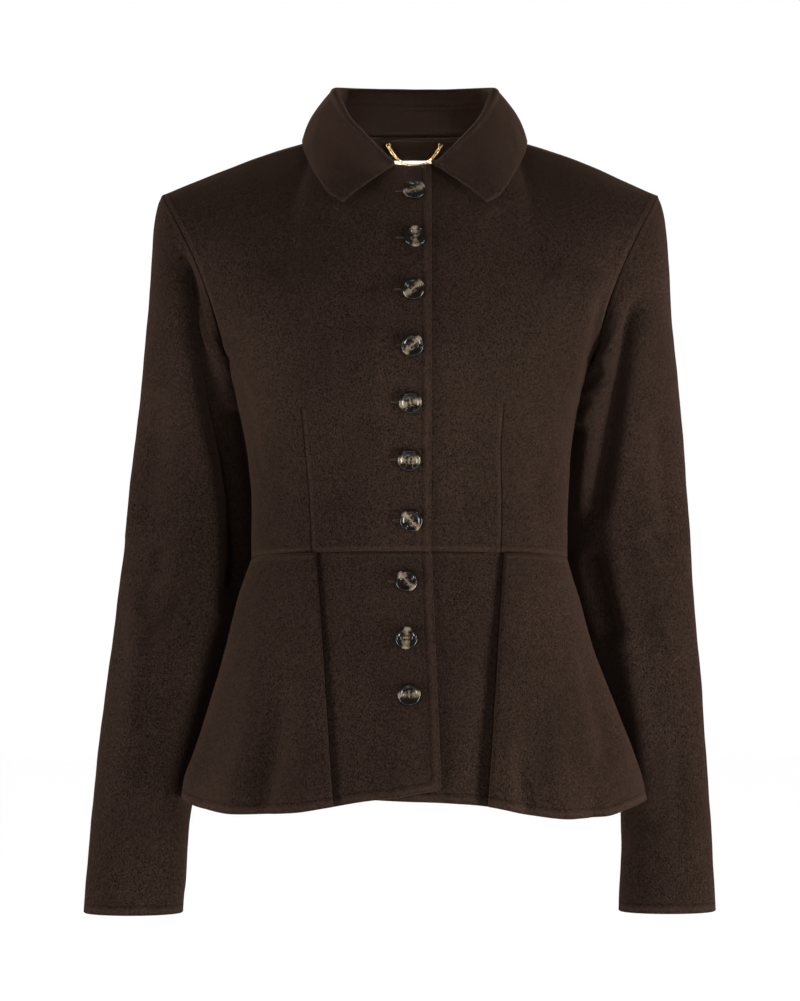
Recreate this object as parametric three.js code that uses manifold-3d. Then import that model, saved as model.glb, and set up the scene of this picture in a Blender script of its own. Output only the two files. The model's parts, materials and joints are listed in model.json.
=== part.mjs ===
// Fitted wool jacket with a peplum, in the shape it has when worn, with no wearer.
// Millimetres. +Z is up, the front faces -Y, and +X is to the right as seen from the front.
// The origin is the middle of the neck opening, where the wearer holds the jacket up.
// The jacket's own right front is the one at -X, and it laps over the left front.

import * as THREE from 'three';
import * as BufferGeometryUtils from 'three/addons/utils/BufferGeometryUtils.js';
import Module from 'manifold-3d';

const wasm = await Module();
wasm.setup();

// Cloth and seams
const CLOTH = 2.2;
const SEAM_GAP = 0.3;
const LAYER_STEP = 2.9;
const SIDE_Y = 4;

// Fronts, measured from the centre front
const RIGHT_EDGE_X = 17;
const RIGHT_HEM_EDGE_X = 25;
const LEFT_EDGE_X = -28;
const LEFT_HEM_EDGE_X = -32;
const LAP_FULL_X = -34;
const LAP_START_X = -62;

// Armhole, an oval between the armpit and the shoulder tip
const ARMPIT_AT = 0.51;
const ARMPIT = { x: 157, z: -188 };
const SHOULDER_TIP = { x: 213, z: -46 };
const ARMHOLE_FRONT_DEPTH = 57;
const ARMHOLE_BACK_DEPTH = 60;
const ARMHOLE_HOLLOW = 8;
const ARMHOLE_AXIS = new THREE.Vector3(0.93, 0, -0.37);

// Neck opening
const NECK_X = 4;
const NECK_HALF_WIDTH = 78;
const NECK_FRONT_Y = -72;
const NECK_BACK_Y = 66;

// Peplum pleats
const PLEAT_TOP_X = 82;
const PLEAT_HEM_X = 67;
const PLEAT_DEPTH_TOP = 22;
const PLEAT_DEPTH_HEM = 30;

// Buttons
const BUTTON_RADIUS = 9.6;
const BUTTON_BACK = 1.6;
const BUTTON_SHANK = 0.85;
const BUTTON_HOLE_RADIUS = 1.05;
const BUTTON_HOLE_OFFSET = 2.3;

// Label and hanging chain at the back of the neck
const LABEL_WIDTH = 52;
const LABEL_THICKNESS = 0.6;
const CHAIN_WIDTH = 47;
const CHAIN_DROP = 21;
const CHAIN_RADIUS = 0.9;

// Grid sizes
const ROWS_BELOW_ARMPIT = 8;
const ARMHOLE_STEPS = 10;
const BODY_COLUMNS = 13;
const PEPLUM_ROWS = 9;
const SLEEVE_ROWS = 18;

// Turns rows of numbers into objects with named columns
function table(names, rows) {
  const keys = names.split(/\s+/);
  return rows.map((row) => Object.fromEntries(keys.map((key, i) => [key, row[i]])));
}

// Front panels from the waist (at 0) to the neck (at 1)
// z is the height at the centre, y the depth there
const FRONT = table('at y z corner fullness', [
  [0.00, -98, -351, 1.00, 0.80],
  [0.18, -105, -292, 1.00, 0.80],
  [0.34, -116, -239, 1.00, 0.80],
  [0.46, -124, -200, 1.00, 0.79],
  [0.51, -125, -183, 1.00, 0.78],
  [0.60, -121, -154, 0.98, 0.76],
  [0.70, -115, -122, 0.94, 0.74],
  [0.80, -105, -90, 0.88, 0.72],
  [0.90, -91, -58, 0.80, 0.70],
  [1.00, -72, -26, 0.70, 0.70],
]);

// Back panel, the same way
const BACK = table('at y z corner fullness', [
  [0.00, 92, -355, 1.00, 0.80],
  [0.18, 99, -293, 1.00, 0.80],
  [0.40, 111, -212, 1.00, 0.80],
  [0.51, 115, -172, 1.00, 0.78],
  [0.70, 117, -104, 0.95, 0.76],
  [0.85, 104, -48, 0.88, 0.74],
  [1.00, 66, 9, 0.70, 0.70],
]);

// Side seams, the half width of the body from the waist to the armpit
const SIDE_SEAM = table('at left right z', [
  [0.00, 136.5, 135.5, -359.5],
  [0.12, 136.5, 135.5, -320],
  [0.25, 139, 137.5, -276],
  [0.38, 147, 144, -232],
  [0.45, 153, 151, -208],
  [0.51, 157, 157, -188],
]);

// Neck seam, by the angle round the neck from the centre front
const NECK = table('angle z', [
  [0, -26],
  [30, -20],
  [60, -8],
  [90, 3],
  [120, 6.5],
  [150, 8.5],
  [180, 9],
]);

// Peplum from the waist (at 0) to the hem (at 1)
const PEPLUM = table('at left right front back fullness backFullness', [
  [0.00, 136.5, 135.5, 98, 92, 0.80, 0.80],
  [0.07, 142, 140, 102, 97, 0.79, 0.77],
  [0.14, 147, 145, 106, 102, 0.78, 0.74],
  [0.30, 156, 154, 112, 109, 0.76, 0.70],
  [0.46, 165, 166, 119, 117, 0.74, 0.67],
  [0.64, 176, 181, 127, 127, 0.72, 0.66],
  [0.80, 187, 193, 134, 136, 0.71, 0.66],
  [0.92, 195, 201, 139, 142, 0.71, 0.66],
  [1.00, 197, 204, 141, 145, 0.71, 0.66],
]);

// Hem heights by the distance from the centre, negative to the wearer's right
const HEM_RIGHT_FRONT = table('x z', [
  [-200, -563], [-180, -569], [-145, -571], [-100, -568.5],
  [-67, -563], [-40, -558], [-10, -554], [12, -550], [30, -547],
]);
const HEM_LEFT_FRONT = table('x z', [
  [-40, -556], [-10, -557.5], [30, -559], [62, -562],
  [100, -570], [135, -574.5], [165, -574], [190, -568], [207, -564],
]);
const HEM_BACK = table('x z', [
  [-207, -563], [-150, -572], [-70, -574], [0, -570],
  [70, -574], [150, -575], [207, -564],
]);

// Sleeves from the armhole to the cuff: the outer and inner edge seen from the front,
// how far back the middle lies, half the depth, and how much of the armhole's shape is left
const SLEEVE_COLUMNS = 'at outX outZ inX inZ midY halfDepth armhole';
const RIGHT_SLEEVE = table(SLEEVE_COLUMNS, [
  [0, 213.4, -46.2, 157.4, -188.2, 5, 58, 1.00],
  [1, 223.6, -58, 150.9, -191.5, 5, 59, 0.85],
  [2, 224.6, -76, 151.2, -195, 7, 61, 0.55],
  [3, 224.8, -102, 151.8, -200, 10, 62, 0.28],
  [4, 225.7, -135, 151.6, -209, 16, 62, 0.10],
  [5, 229, -172, 149.5, -223, 24, 60, 0.02],
  [6, 233, -210, 144.8, -245, 35, 57, 0],
  [7, 239, -255, 138.5, -278, 47, 50, 0],
  [8, 245, -305, 134, -318, 57, 44, 0],
  [9, 251, -358, 134, -362, 65, 41, 0],
  [10, 258, -410, 141, -408, 71, 38, 0],
  [11, 265, -462, 152, -458, 72, 37, 0],
  [12, 271, -512, 170, -508, 70, 37, 0],
  [13, 276, -560, 187, -556, 63, 36, 0],
  [14, 280, -610, 194.5, -606, 55, 35, 0],
  [15, 284, -666, 197.5, -666, 47, 34, 0],
]);
const LEFT_SLEEVE = table(SLEEVE_COLUMNS, [
  [0, 213.4, -46.2, 157.4, -188.2, 5, 58, 1.00],
  [1, 223.6, -59, 150.9, -191.5, 5, 59, 0.85],
  [2, 225.2, -78, 150.6, -195, 7, 61, 0.55],
  [3, 225.2, -104, 150.2, -200, 10, 62, 0.28],
  [4, 226.2, -137, 149.4, -209, 16, 62, 0.10],
  [5, 229, -174, 147, -223, 24, 60, 0.02],
  [6, 233, -212, 142.3, -245, 35, 57, 0],
  [7, 238, -257, 137, -278, 47, 50, 0],
  [8, 242, -306, 133, -318, 57, 44, 0],
  [9, 246, -359, 133, -362, 65, 41, 0],
  [10, 250, -410, 141, -408, 73, 38, 0],
  [11, 255, -462, 152, -458, 78, 37, 0],
  [12, 259, -512, 169, -508, 81, 37, 0],
  [13, 262.5, -560, 184.5, -556, 82, 36, 0],
  [14, 265, -610, 185, -606, 76, 35, 0],
  [15, 267.5, -666, 182.5, -666, 65, 34, 0],
]);
// Collar from the centre back to the front, one half: the fold line and the outer edge
const COLLAR = table('angle lift rollX rollY rollZ edgeX edgeY edgeZ', [
  [180, 0.5, 0, 66, 50, 0, 92, -1],
  [158, 0.5, 25.5, 62, 50, 37, 86, -1],
  [136, 0.5, 46, 48, 49.5, 68, 66, -1],
  [113, 0.5, 61, 25, 48, 89, 34, 0],
  [90, 0.5, 66, 0, 45, 95.5, 2, 1],
  [72, 0.5, 62, -20, 33, 94, -23, -8],
  [55, 0.6, 54, -39, 17.5, 88, -52, -23],
  [40, 0.8, 43, -55, 4, 80, -76, -37],
  [26, 1.2, 30, -67, -10.5, 71, -93, -50],
  [13, 1.6, 18, -77.5, -23, 60.5, -101, -57],
]);
const COLLAR_FOLD_RADIUS = 2.6;

// Buttons down the right front
const BUTTONS = table('x z turn', [
  [3.2, -48, 20],
  [4, -88, 5],
  [2.5, -132, 40],
  [1.7, -179, 35],
  [0, -226, 100],
  [-1, -274, 80],
  [0.8, -325, 130],
  [-3.2, -376, 135],
  [-3.2, -423.5, 0],
  [-1, -470.5, 90],
]);

// Smooth value of one column at a place along a table, without overshoot
function column(rows, key, at, along = 'at') {
  const last = rows.length - 1;
  const place = THREE.MathUtils.clamp(at, rows[0][along], rows[last][along]);
  let i = 0;
  while (i < last - 1 && place > rows[i + 1][along]) i += 1;
  const slope = (k) => (rows[k + 1][key] - rows[k][key]) / (rows[k + 1][along] - rows[k][along]);
  const tangent = (k) => {
    if (k === 0) return slope(0);
    if (k === last) return slope(last - 1);
    const before = slope(k - 1);
    const after = slope(k);
    return before * after <= 0 ? 0 : (2 * before * after) / (before + after);
  };
  const width = rows[i + 1][along] - rows[i][along];
  const t = (place - rows[i][along]) / width;
  const t2 = t * t;
  const t3 = t2 * t;
  return (2 * t3 - 3 * t2 + 1) * rows[i][key]
    + (t3 - 2 * t2 + t) * width * tangent(i)
    + (3 * t2 - 2 * t3) * rows[i + 1][key]
    + (t3 - t2) * width * tangent(i + 1);
}

function smooth(from, to, value) {
  return THREE.MathUtils.smoothstep(value, from, to);
}

// Quarter of a rounded outline, from the centre (t = 0) to the side (t = 1)
function quarter(centreY, sideX, sideY, corner, fullness, t) {
  const w0 = (1 - t) * (1 - t);
  const w1 = 2 * t * (1 - t) * fullness;
  const w2 = t * t;
  const sum = w0 + w1 + w2;
  const cornerX = sideX * corner;
  const cornerY = THREE.MathUtils.lerp(sideY, centreY, 0.5 + corner / 2);
  return {
    x: (w1 * cornerX + w2 * sideX) / sum,
    y: (w0 * centreY + w1 * cornerY + w2 * sideY) / sum,
  };
}

// Armhole oval at one side: turn is 0 at the armpit and 1 at the shoulder tip
function armholePoint(side, turn, depth) {
  const q = (1 - Math.cos(Math.PI * turn)) / 2;
  const hollow = ARMHOLE_HOLLOW * Math.sin(Math.PI * q) * (depth < 0 ? 1 : 0.6);
  const x = THREE.MathUtils.lerp(ARMPIT.x, SHOULDER_TIP.x, q) - hollow;
  return new THREE.Vector3(
    side * x,
    SIDE_Y + depth * Math.sin(Math.PI * turn),
    THREE.MathUtils.lerp(ARMPIT.z, SHOULDER_TIP.z, q),
  );
}

function neckPoint(side, angle) {
  const a = THREE.MathUtils.degToRad(angle);
  const middle = (NECK_FRONT_Y + NECK_BACK_Y) / 2;
  const half = (NECK_BACK_Y - NECK_FRONT_Y) / 2;
  return new THREE.Vector3(
    side * NECK_HALF_WIDTH * Math.sin(a) + NECK_X * Math.sin(a),
    middle - half * Math.cos(a),
    column(NECK, 'z', angle, 'angle'),
  );
}

// Edge of a body panel at the side: side seam below the armpit, armhole above it
function bodyEdge(side, at, depth) {
  if (at > ARMPIT_AT) {
    return armholePoint(side, (at - ARMPIT_AT) / (1 - ARMPIT_AT), depth);
  }
  const x = column(SIDE_SEAM, side < 0 ? 'left' : 'right', at);
  return new THREE.Vector3(side * x, SIDE_Y, column(SIDE_SEAM, 'z', at));
}

// Top edge of a body panel: the neck first, then the shoulder seam
const NECK_SHARE = 0.44;
function bodyTop(side, t, front) {
  if (t <= NECK_SHARE) {
    const share = (t / NECK_SHARE) * 90;
    return neckPoint(side, front ? share : 180 - share);
  }
  const s = (t - NECK_SHARE) / (1 - NECK_SHARE);
  const tip = new THREE.Vector3(side * SHOULDER_TIP.x, SIDE_Y, SHOULDER_TIP.z);
  const point = neckPoint(side, 90).lerp(tip, s);
  point.z += 5 * Math.sin(Math.PI * s) * (1 - s * 0.5);
  return point;
}

// Plain body shape before the neck and shoulders are drawn in
function bodyRow(rows, depth, side, t, at) {
  const edge = bodyEdge(side, at, depth);
  const centreZ = column(rows, 'z', at);
  const flat = quarter(column(rows, 'y', at), Math.abs(edge.x), edge.y,
    column(rows, 'corner', at), column(rows, 'fullness', at), t);
  return new THREE.Vector3(side * flat.x, flat.y, THREE.MathUtils.lerp(centreZ, edge.z, t * t));
}

// Outer surface of the body: t from the centre to the side, at from the waist to the top
function bodyPoint(front, side, t, at) {
  const rows = front ? FRONT : BACK;
  const depth = front ? -ARMHOLE_FRONT_DEPTH : ARMHOLE_BACK_DEPTH;
  const point = bodyRow(rows, depth, side, t, at);
  const drawn = Math.max(0, (at - 0.6) / 0.4) ** 2;
  if (drawn > 0) {
    const pull = bodyTop(side, t, front).sub(bodyRow(rows, depth, side, t, 1));
    point.addScaledVector(pull, drawn);
  }
  return point;
}

// Place along a row where the surface has a wanted x
function placeAtX(pointAt, x) {
  let low = 0;
  let high = 0.7;
  for (let i = 0; i < 26; i += 1) {
    const middle = (low + high) / 2;
    if (Math.abs(pointAt(middle).x) < x) low = middle;
    else high = middle;
  }
  return (low + high) / 2;
}

// Closed cloth wall from a grid of outer points, rows by columns
// square lists, for a point on an edge, the directions across its seams, so cut edges lie square
function clothWall(name, grid, material, options = {}) {
  const { wrap = false, middle = false, square = () => [] } = options;
  const rows = grid.length;
  const columns = grid[0].length;
  const normals = grid.map((row, i) => row.map((point, j) => {
    const right = wrap ? row[(j + 1) % columns] : row[Math.min(j + 1, columns - 1)];
    const left = wrap ? row[(j + columns - 1) % columns] : row[Math.max(j - 1, 0)];
    const across = right.clone().sub(left);
    const up = grid[Math.min(i + 1, rows - 1)][j].clone().sub(grid[Math.max(i - 1, 0)][j]);
    const normal = across.cross(up).normalize();
    const seam = square(i, j);
    seam.forEach((s) => normal.addScaledVector(s, -normal.dot(s) / s.lengthSq()).normalize());
    return normal;
  }));
  const outer = grid.map((row, i) => row.map((p, j) => (
    p.clone().addScaledVector(normals[i][j], middle ? CLOTH / 2 : 0))));
  const inner = outer.map((row, i) => row.map((p, j) => (
    p.clone().addScaledVector(normals[i][j], -CLOTH))));
  const positions = [];
  const triangle = (a, b, c) => positions.push(...a.toArray(), ...b.toArray(), ...c.toArray());
  const quad = (a, b, c, d) => {
    triangle(a, b, c);
    triangle(a, c, d);
  };
  const spans = wrap ? columns : columns - 1;
  for (let i = 0; i < rows - 1; i += 1) {
    for (let j = 0; j < spans; j += 1) {
      const k = (j + 1) % columns;
      quad(outer[i][j], outer[i][k], outer[i + 1][k], outer[i + 1][j]);
      quad(inner[i][j], inner[i + 1][j], inner[i + 1][k], inner[i][k]);
    }
  }
  for (let j = 0; j < spans; j += 1) {
    const k = (j + 1) % columns;
    quad(outer[0][j], inner[0][j], inner[0][k], outer[0][k]);
    quad(outer[rows - 1][j], outer[rows - 1][k], inner[rows - 1][k], inner[rows - 1][j]);
  }
  if (!wrap) {
    const e = columns - 1;
    for (let i = 0; i < rows - 1; i += 1) {
      quad(outer[i][0], outer[i + 1][0], inner[i + 1][0], inner[i][0]);
      quad(outer[i][e], inner[i][e], inner[i + 1][e], outer[i + 1][e]);
    }
  }
  const geometry = new THREE.BufferGeometry();
  geometry.setAttribute('position', new THREE.Float32BufferAttribute(positions, 3));
  geometry.computeVertexNormals();
  const mesh = new THREE.Mesh(geometry, material);
  mesh.name = name;
  return mesh;
}

function range(count, map) {
  return Array.from({ length: count }, (_, i) => map(i / (count - 1), i));
}

// Places of the body's rows, with one row at the armpit and the rest shared with the sleeves
const BODY_ROWS = ROWS_BELOW_ARMPIT + ARMHOLE_STEPS + 1;
const BODY_PLACES = [
  ...range(ROWS_BELOW_ARMPIT + 1, (share) => share * ARMPIT_AT),
  ...range(ARMHOLE_STEPS + 1, (share) => ARMPIT_AT + share * (1 - ARMPIT_AT)).slice(1),
];

const wool = (name) => new THREE.MeshStandardMaterial({
  name,
  color: 0x2c211c,
  roughness: 0.95,
  metalness: 0,
});
const horn = () => new THREE.MeshStandardMaterial({
  name: 'horn',
  color: 0x17110d,
  roughness: 0.25,
  metalness: 0,
});
const gold = new THREE.MeshStandardMaterial({
  name: 'gold',
  color: 0xc9993f,
  roughness: 0.3,
  metalness: 1,
});
const whiteTape = new THREE.MeshStandardMaterial({
  name: 'white tape',
  color: 0xe8e4dc,
  roughness: 0.7,
  metalness: 0,
});

const jacket = new THREE.Group();
jacket.name = 'peplum jacket';

const ACROSS_Y = new THREE.Vector3(0, 1, 0);
const ACROSS_Z = new THREE.Vector3(0, 0, 1);

// Directions across the seams of a body panel at row i and distance t from its centre
function bodySquare(i, t, side) {
  const seams = [];
  const top = i === BODY_ROWS - 1;
  const armhole = t === 1 && i > ROWS_BELOW_ARMPIT;
  if (i === 0) seams.push(ACROSS_Z);
  if ((t === 1 && !armhole) || (top && t >= NECK_SHARE)) seams.push(ACROSS_Y);
  if (armhole) seams.push(new THREE.Vector3(side * ARMHOLE_AXIS.x, 0, ARMHOLE_AXIS.z));
  return seams;
}

// Seam gap left between a panel and its neighbours
function trimToSeams(point, front, side, t, at) {
  const moved = point.clone();
  if (at === 0) moved.z += SEAM_GAP / 2;
  const onSeam = (t === 1 && at <= ARMPIT_AT) || (at === 1 && t >= NECK_SHARE);
  if (onSeam) moved.y += (front ? -1 : 1) * (SEAM_GAP / 2);
  if (t === 1 && at > ARMPIT_AT) {
    moved.x -= side * ARMHOLE_AXIS.x * 0.15;
    moved.z -= ARMHOLE_AXIS.z * 0.15;
  }
  return moved;
}

// How far the right front is lifted over the left one
function lapLift(x) {
  return LAYER_STEP * smooth(LAP_START_X, LAP_FULL_X, x);
}

// One front from its side seam to its overlapping edge
function bodyFront(name, side, edgeX) {
  const acrossCount = BODY_COLUMNS;
  const grid = BODY_PLACES.map((at) => {
    const pointAt = (t) => bodyPoint(true, side, t, at);
    const beyondAt = (t) => bodyPoint(true, -side, t, at);
    const row = range(acrossCount, (s) => {
      const t = 1 - s;
      return trimToSeams(pointAt(t), true, side, t, at);
    });
    const beyond = Math.abs(edgeX);
    [0.5, 1].forEach((share) => row.push(beyondAt(placeAtX(beyondAt, beyond * share))));
    if (at === 0) row.slice(-2).forEach((p) => { p.z += SEAM_GAP / 2; });
    const steeper = 1 + 0.5 * Math.max(0, (at - 0.6) / 0.4) ** 2;
    if (side < 0) row.forEach((p) => { p.y -= lapLift(p.x) * steeper; });
    return side < 0 ? row : row.reverse();
  });
  const square = (i, j) => {
    const s = side < 0 ? j : grid[0].length - 1 - j;
    return bodySquare(i, 1 - s / (acrossCount - 1), side);
  };
  return clothWall(name, grid, wool(name), { square });
}

jacket.add(bodyFront('right_front', -1, RIGHT_EDGE_X));
jacket.add(bodyFront('left_front', 1, LEFT_EDGE_X));

// Back, one piece from side seam to side seam
function bodyBack() {
  const count = BODY_COLUMNS * 2 - 1;
  const grid = BODY_PLACES.map((at) => range(count, (s) => {
    const side = s < 0.5 ? 1 : -1;
    const t = Math.abs(s * 2 - 1);
    return trimToSeams(bodyPoint(false, side, t, at), false, side, t, at);
  }));
  const square = (i, j) => {
    const s = (j / (count - 1)) * 2 - 1;
    return bodySquare(i, Math.abs(s), s < 0 ? 1 : -1);
  };
  return clothWall('back', grid, wool('back'), { square });
}
jacket.add(bodyBack());

// Outline of the peplum at one height, with distances measured from the pleat edge
function peplumOutline(side, at, front) {
  const half = (s) => column(PEPLUM, s < 0 ? 'left' : 'right', at);
  const centreY = front ? -column(PEPLUM, 'front', at) : column(PEPLUM, 'back', at);
  const fullness = column(PEPLUM, 'fullness', at);
  const pointAt = (t) => {
    const s = t < 0 ? -side : side;
    const flat = quarter(centreY, half(s), SIDE_Y, 1, fullness, Math.abs(t));
    return new THREE.Vector2(s * flat.x, flat.y);
  };
  const samples = [];
  const places = [];
  for (let i = -24; i <= 60; i += 1) {
    places.push(Math.abs(i / 60));
    samples.push(pointAt(i / 60));
  }
  const lengths = [0];
  samples.forEach((p, i) => {
    if (i > 0) lengths.push(lengths[i - 1] + p.distanceTo(samples[i - 1]));
  });
  const placeOfX = (x) => {
    const i = samples.findIndex((p, k) => k > 0 && side * p.x >= side * x);
    const share = (x - samples[i - 1].x) / (samples[i].x - samples[i - 1].x);
    return THREE.MathUtils.lerp(lengths[i - 1], lengths[i], share);
  };
  const at2 = (length) => {
    const clamped = THREE.MathUtils.clamp(length, 0, lengths[lengths.length - 1]);
    let i = lengths.findIndex((value) => value >= clamped);
    i = THREE.MathUtils.clamp(i, 1, samples.length - 1);
    const share = (clamped - lengths[i - 1]) / (lengths[i] - lengths[i - 1]);
    const a = samples[Math.max(i - 2, 0)];
    const b = samples[Math.min(i + 1, samples.length - 1)];
    const along = b.clone().sub(a).normalize();
    const normal = new THREE.Vector2(side * along.y, -side * along.x);
    return {
      point: samples[i - 1].clone().lerp(samples[i], share),
      normal,
      t: THREE.MathUtils.lerp(places[i - 1], places[i], share),
    };
  };
  return { at: at2, placeOfX, total: lengths[lengths.length - 1] };
}

// Height of the waist seam, the same curve as the bottom edge of the body
function waistZ(front, t) {
  const centre = front ? FRONT[0].z : BACK[0].z;
  return THREE.MathUtils.lerp(centre, SIDE_SEAM[0].z, t * t) - SEAM_GAP / 2;
}

// Path across a peplum front: distance from the pleat edge towards the side, and how far out
function pleatPath(sideLength, centreLength, edgeLength, depth) {
  const r = LAYER_STEP / 2;
  const path = [];
  [1, 0.84, 0.68, 0.52, 0.36, 0.22, 0.1, 0].forEach((share) => {
    const s = share * sideLength;
    path.push([s, r * (1 - smooth(0, 60, s))]);
  });
  [45, 90, 135].forEach((a) => {
    const angle = THREE.MathUtils.degToRad(a);
    path.push([-r * Math.sin(angle), r * Math.cos(angle)]);
  });
  path.push([0, -r], [depth / 2, -r], [depth, -r]);
  [45, 90, 135].forEach((a) => {
    const angle = THREE.MathUtils.degToRad(a);
    path.push([depth + r * Math.sin(angle), -2 * r + r * Math.cos(angle)]);
  });
  path.push([depth, -3 * r], [depth / 2, -3 * r], [0, -3 * r], [-6, -3 * r]);
  [0.25, 0.5, 0.75, 1].forEach((share) => {
    const s = -6 - share * (centreLength - 6);
    path.push([s, -3 * r * (1 - smooth(6, 34, -s))]);
  });
  path.push([-centreLength - edgeLength / 2, 0], [-centreLength - edgeLength, 0]);
  return path;
}

// Directions across the edges of a peplum piece
function edgeSquare(i, onSide) {
  const seams = onSide ? [ACROSS_Y] : [];
  if (i === 0 || i === PEPLUM_ROWS - 1) seams.push(ACROSS_Z);
  return seams;
}

// One front of the peplum with its knife pleat, from the side seam to the overlapping edge
function peplumFront(name, side, hem, edgeTopX, edgeHemX) {
  const grid = range(PEPLUM_ROWS, (at) => {
    const outline = peplumOutline(side, at, true);
    const pleatX = side * THREE.MathUtils.lerp(PLEAT_TOP_X, PLEAT_HEM_X, at);
    const edgeX = THREE.MathUtils.lerp(edgeTopX, edgeHemX, at);
    const pleat = outline.placeOfX(pleatX);
    const centre = outline.placeOfX(0);
    const edge = outline.placeOfX(edgeX);
    const depth = THREE.MathUtils.lerp(PLEAT_DEPTH_TOP, PLEAT_DEPTH_HEM, at);
    const path = pleatPath(outline.total - pleat, pleat - centre, centre - edge, depth);
    const row = path.map(([s, out]) => {
      const { point, normal, t } = outline.at(pleat + s);
      const lift = side < 0 ? lapLift(point.x) : 0;
      const h = out - CLOTH / 2 + lift;
      const top = waistZ(true, t);
      const bottom = column(hem, 'z', point.x, 'x');
      return new THREE.Vector3(
        point.x + normal.x * h,
        point.y + normal.y * h,
        THREE.MathUtils.lerp(top, bottom, at),
      );
    });
    row[0].y -= SEAM_GAP / 2;
    return side < 0 ? row : row.reverse();
  }).reverse();
  const sideColumn = side < 0 ? 0 : grid[0].length - 1;
  const square = (i, j) => edgeSquare(i, j === sideColumn);
  return clothWall(name, grid, wool(name), { square, middle: true });
}
jacket.add(peplumFront('right_front_peplum', -1, HEM_RIGHT_FRONT, RIGHT_EDGE_X, RIGHT_HEM_EDGE_X));
jacket.add(peplumFront('left_front_peplum', 1, HEM_LEFT_FRONT, LEFT_EDGE_X, LEFT_HEM_EDGE_X));

// Back of the peplum, flared and unpleated
function peplumBack() {
  const count = BODY_COLUMNS * 2 - 1;
  const grid = range(PEPLUM_ROWS, (down) => {
    const at = 1 - down;
    return range(count, (s) => {
      const side = s < 0.5 ? 1 : -1;
      const t = Math.abs(s * 2 - 1);
      const half = column(PEPLUM, side < 0 ? 'left' : 'right', at);
      const flat = quarter(column(PEPLUM, 'back', at), half, SIDE_Y, 1,
        column(PEPLUM, 'backFullness', at), t);
      const x = side * flat.x;
      const y = flat.y + (t === 1 ? SEAM_GAP / 2 : 0);
      return new THREE.Vector3(x, y,
        THREE.MathUtils.lerp(waistZ(false, t), column(HEM_BACK, 'z', x, 'x'), at));
    });
  });
  const square = (i, j) => edgeSquare(i, j === 0 || j === count - 1);
  return clothWall('back_peplum', grid, wool('back_peplum'), { square });
}
jacket.add(peplumBack());

// Sleeve, a tube from the armhole to the cuff
function sleeve(name, side, rows) {
  const count = ARMHOLE_STEPS * 2;
  const start = rows[0];
  const startMiddle = new THREE.Vector3((start.outX + start.inX) / 2, start.midY,
    (start.outZ + start.inZ) / 2);
  const keys = SLEEVE_COLUMNS.split(' ');
  const smoothRows = range(SLEEVE_ROWS, (share) => (
    Object.fromEntries(keys.map((key) => [key, column(rows, key, share * (rows.length - 1))]))));
  const grid = smoothRows.map((row) => {
    const middle = new THREE.Vector3((row.outX + row.inX) / 2, row.midY, (row.outZ + row.inZ) / 2);
    const reach = new THREE.Vector3((row.outX - row.inX) / 2, 0, (row.outZ - row.inZ) / 2);
    const ring = range(count + 1, (share) => {
      const angle = share * Math.PI * 2;
      const oval = middle.clone().addScaledVector(reach, Math.cos(angle));
      oval.y -= row.halfDepth * Math.sin(angle);
      const front = share <= 0.5;
      const turn = front ? 1 - share * 2 : share * 2 - 1;
      const loop = armholePoint(1, turn, front ? -ARMHOLE_FRONT_DEPTH : ARMHOLE_BACK_DEPTH);
      loop.addScaledVector(ARMHOLE_AXIS, SEAM_GAP);
      loop.add(middle).sub(startMiddle);
      const point = oval.lerp(loop, row.armhole);
      return new THREE.Vector3(side * point.x, point.y, point.z);
    });
    ring.pop();
    return side < 0 ? ring : ring.reverse();
  }).reverse();
  const axis = new THREE.Vector3(side * ARMHOLE_AXIS.x, 0, ARMHOLE_AXIS.z);
  const square = (i) => {
    if (i === SLEEVE_ROWS - 1) return [axis];
    return i === 0 ? [ACROSS_Z] : [];
  };
  return clothWall(name, grid, wool(name), { square, wrap: true });
}
jacket.add(sleeve('right_sleeve', -1, RIGHT_SLEEVE));
jacket.add(sleeve('left_sleeve', 1, LEFT_SLEEVE));

// Collar, one wall folded over: the stand rises from the neck, the fall comes down outside it
function collar() {
  const stations = [...COLLAR].reverse().map((row) => ({ ...row, side: -1 }))
    .concat(COLLAR.slice(1).map((row) => ({ ...row, side: 1 })));
  const columnsOf = (row) => {
    const { side } = row;
    const foot = neckPoint(side, row.angle);
    foot.z += row.lift;
    const fold = new THREE.Vector3(side * row.rollX + NECK_X, row.rollY, row.rollZ);
    const edge = new THREE.Vector3(side * row.edgeX + NECK_X, row.edgeY, row.edgeZ);
    const angle = THREE.MathUtils.degToRad(row.angle);
    const out = new THREE.Vector3(side * Math.sin(angle), -Math.cos(angle), 0);
    const r = COLLAR_FOLD_RADIUS;
    const path = [foot, foot.clone().lerp(fold, 0.5), fold.clone()];
    [45, 90, 135].forEach((degrees) => {
      const a = THREE.MathUtils.degToRad(degrees);
      const p = fold.clone().addScaledVector(out, r * (1 - Math.cos(a)));
      p.z += r * Math.sin(a);
      path.push(p);
    });
    const start = fold.clone().addScaledVector(out, r * 2);
    [0, 0.3, 0.6, 0.82, 1].forEach((share) => {
      const p = start.clone().lerp(edge, share);
      p.addScaledVector(out, 4 * Math.sin(Math.PI * share));
      path.push(p);
    });
    return path;
  };
  const grid = stations.map(columnsOf);
  return clothWall('collar', grid, wool('collar'), { middle: true });
}
jacket.add(collar());

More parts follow.
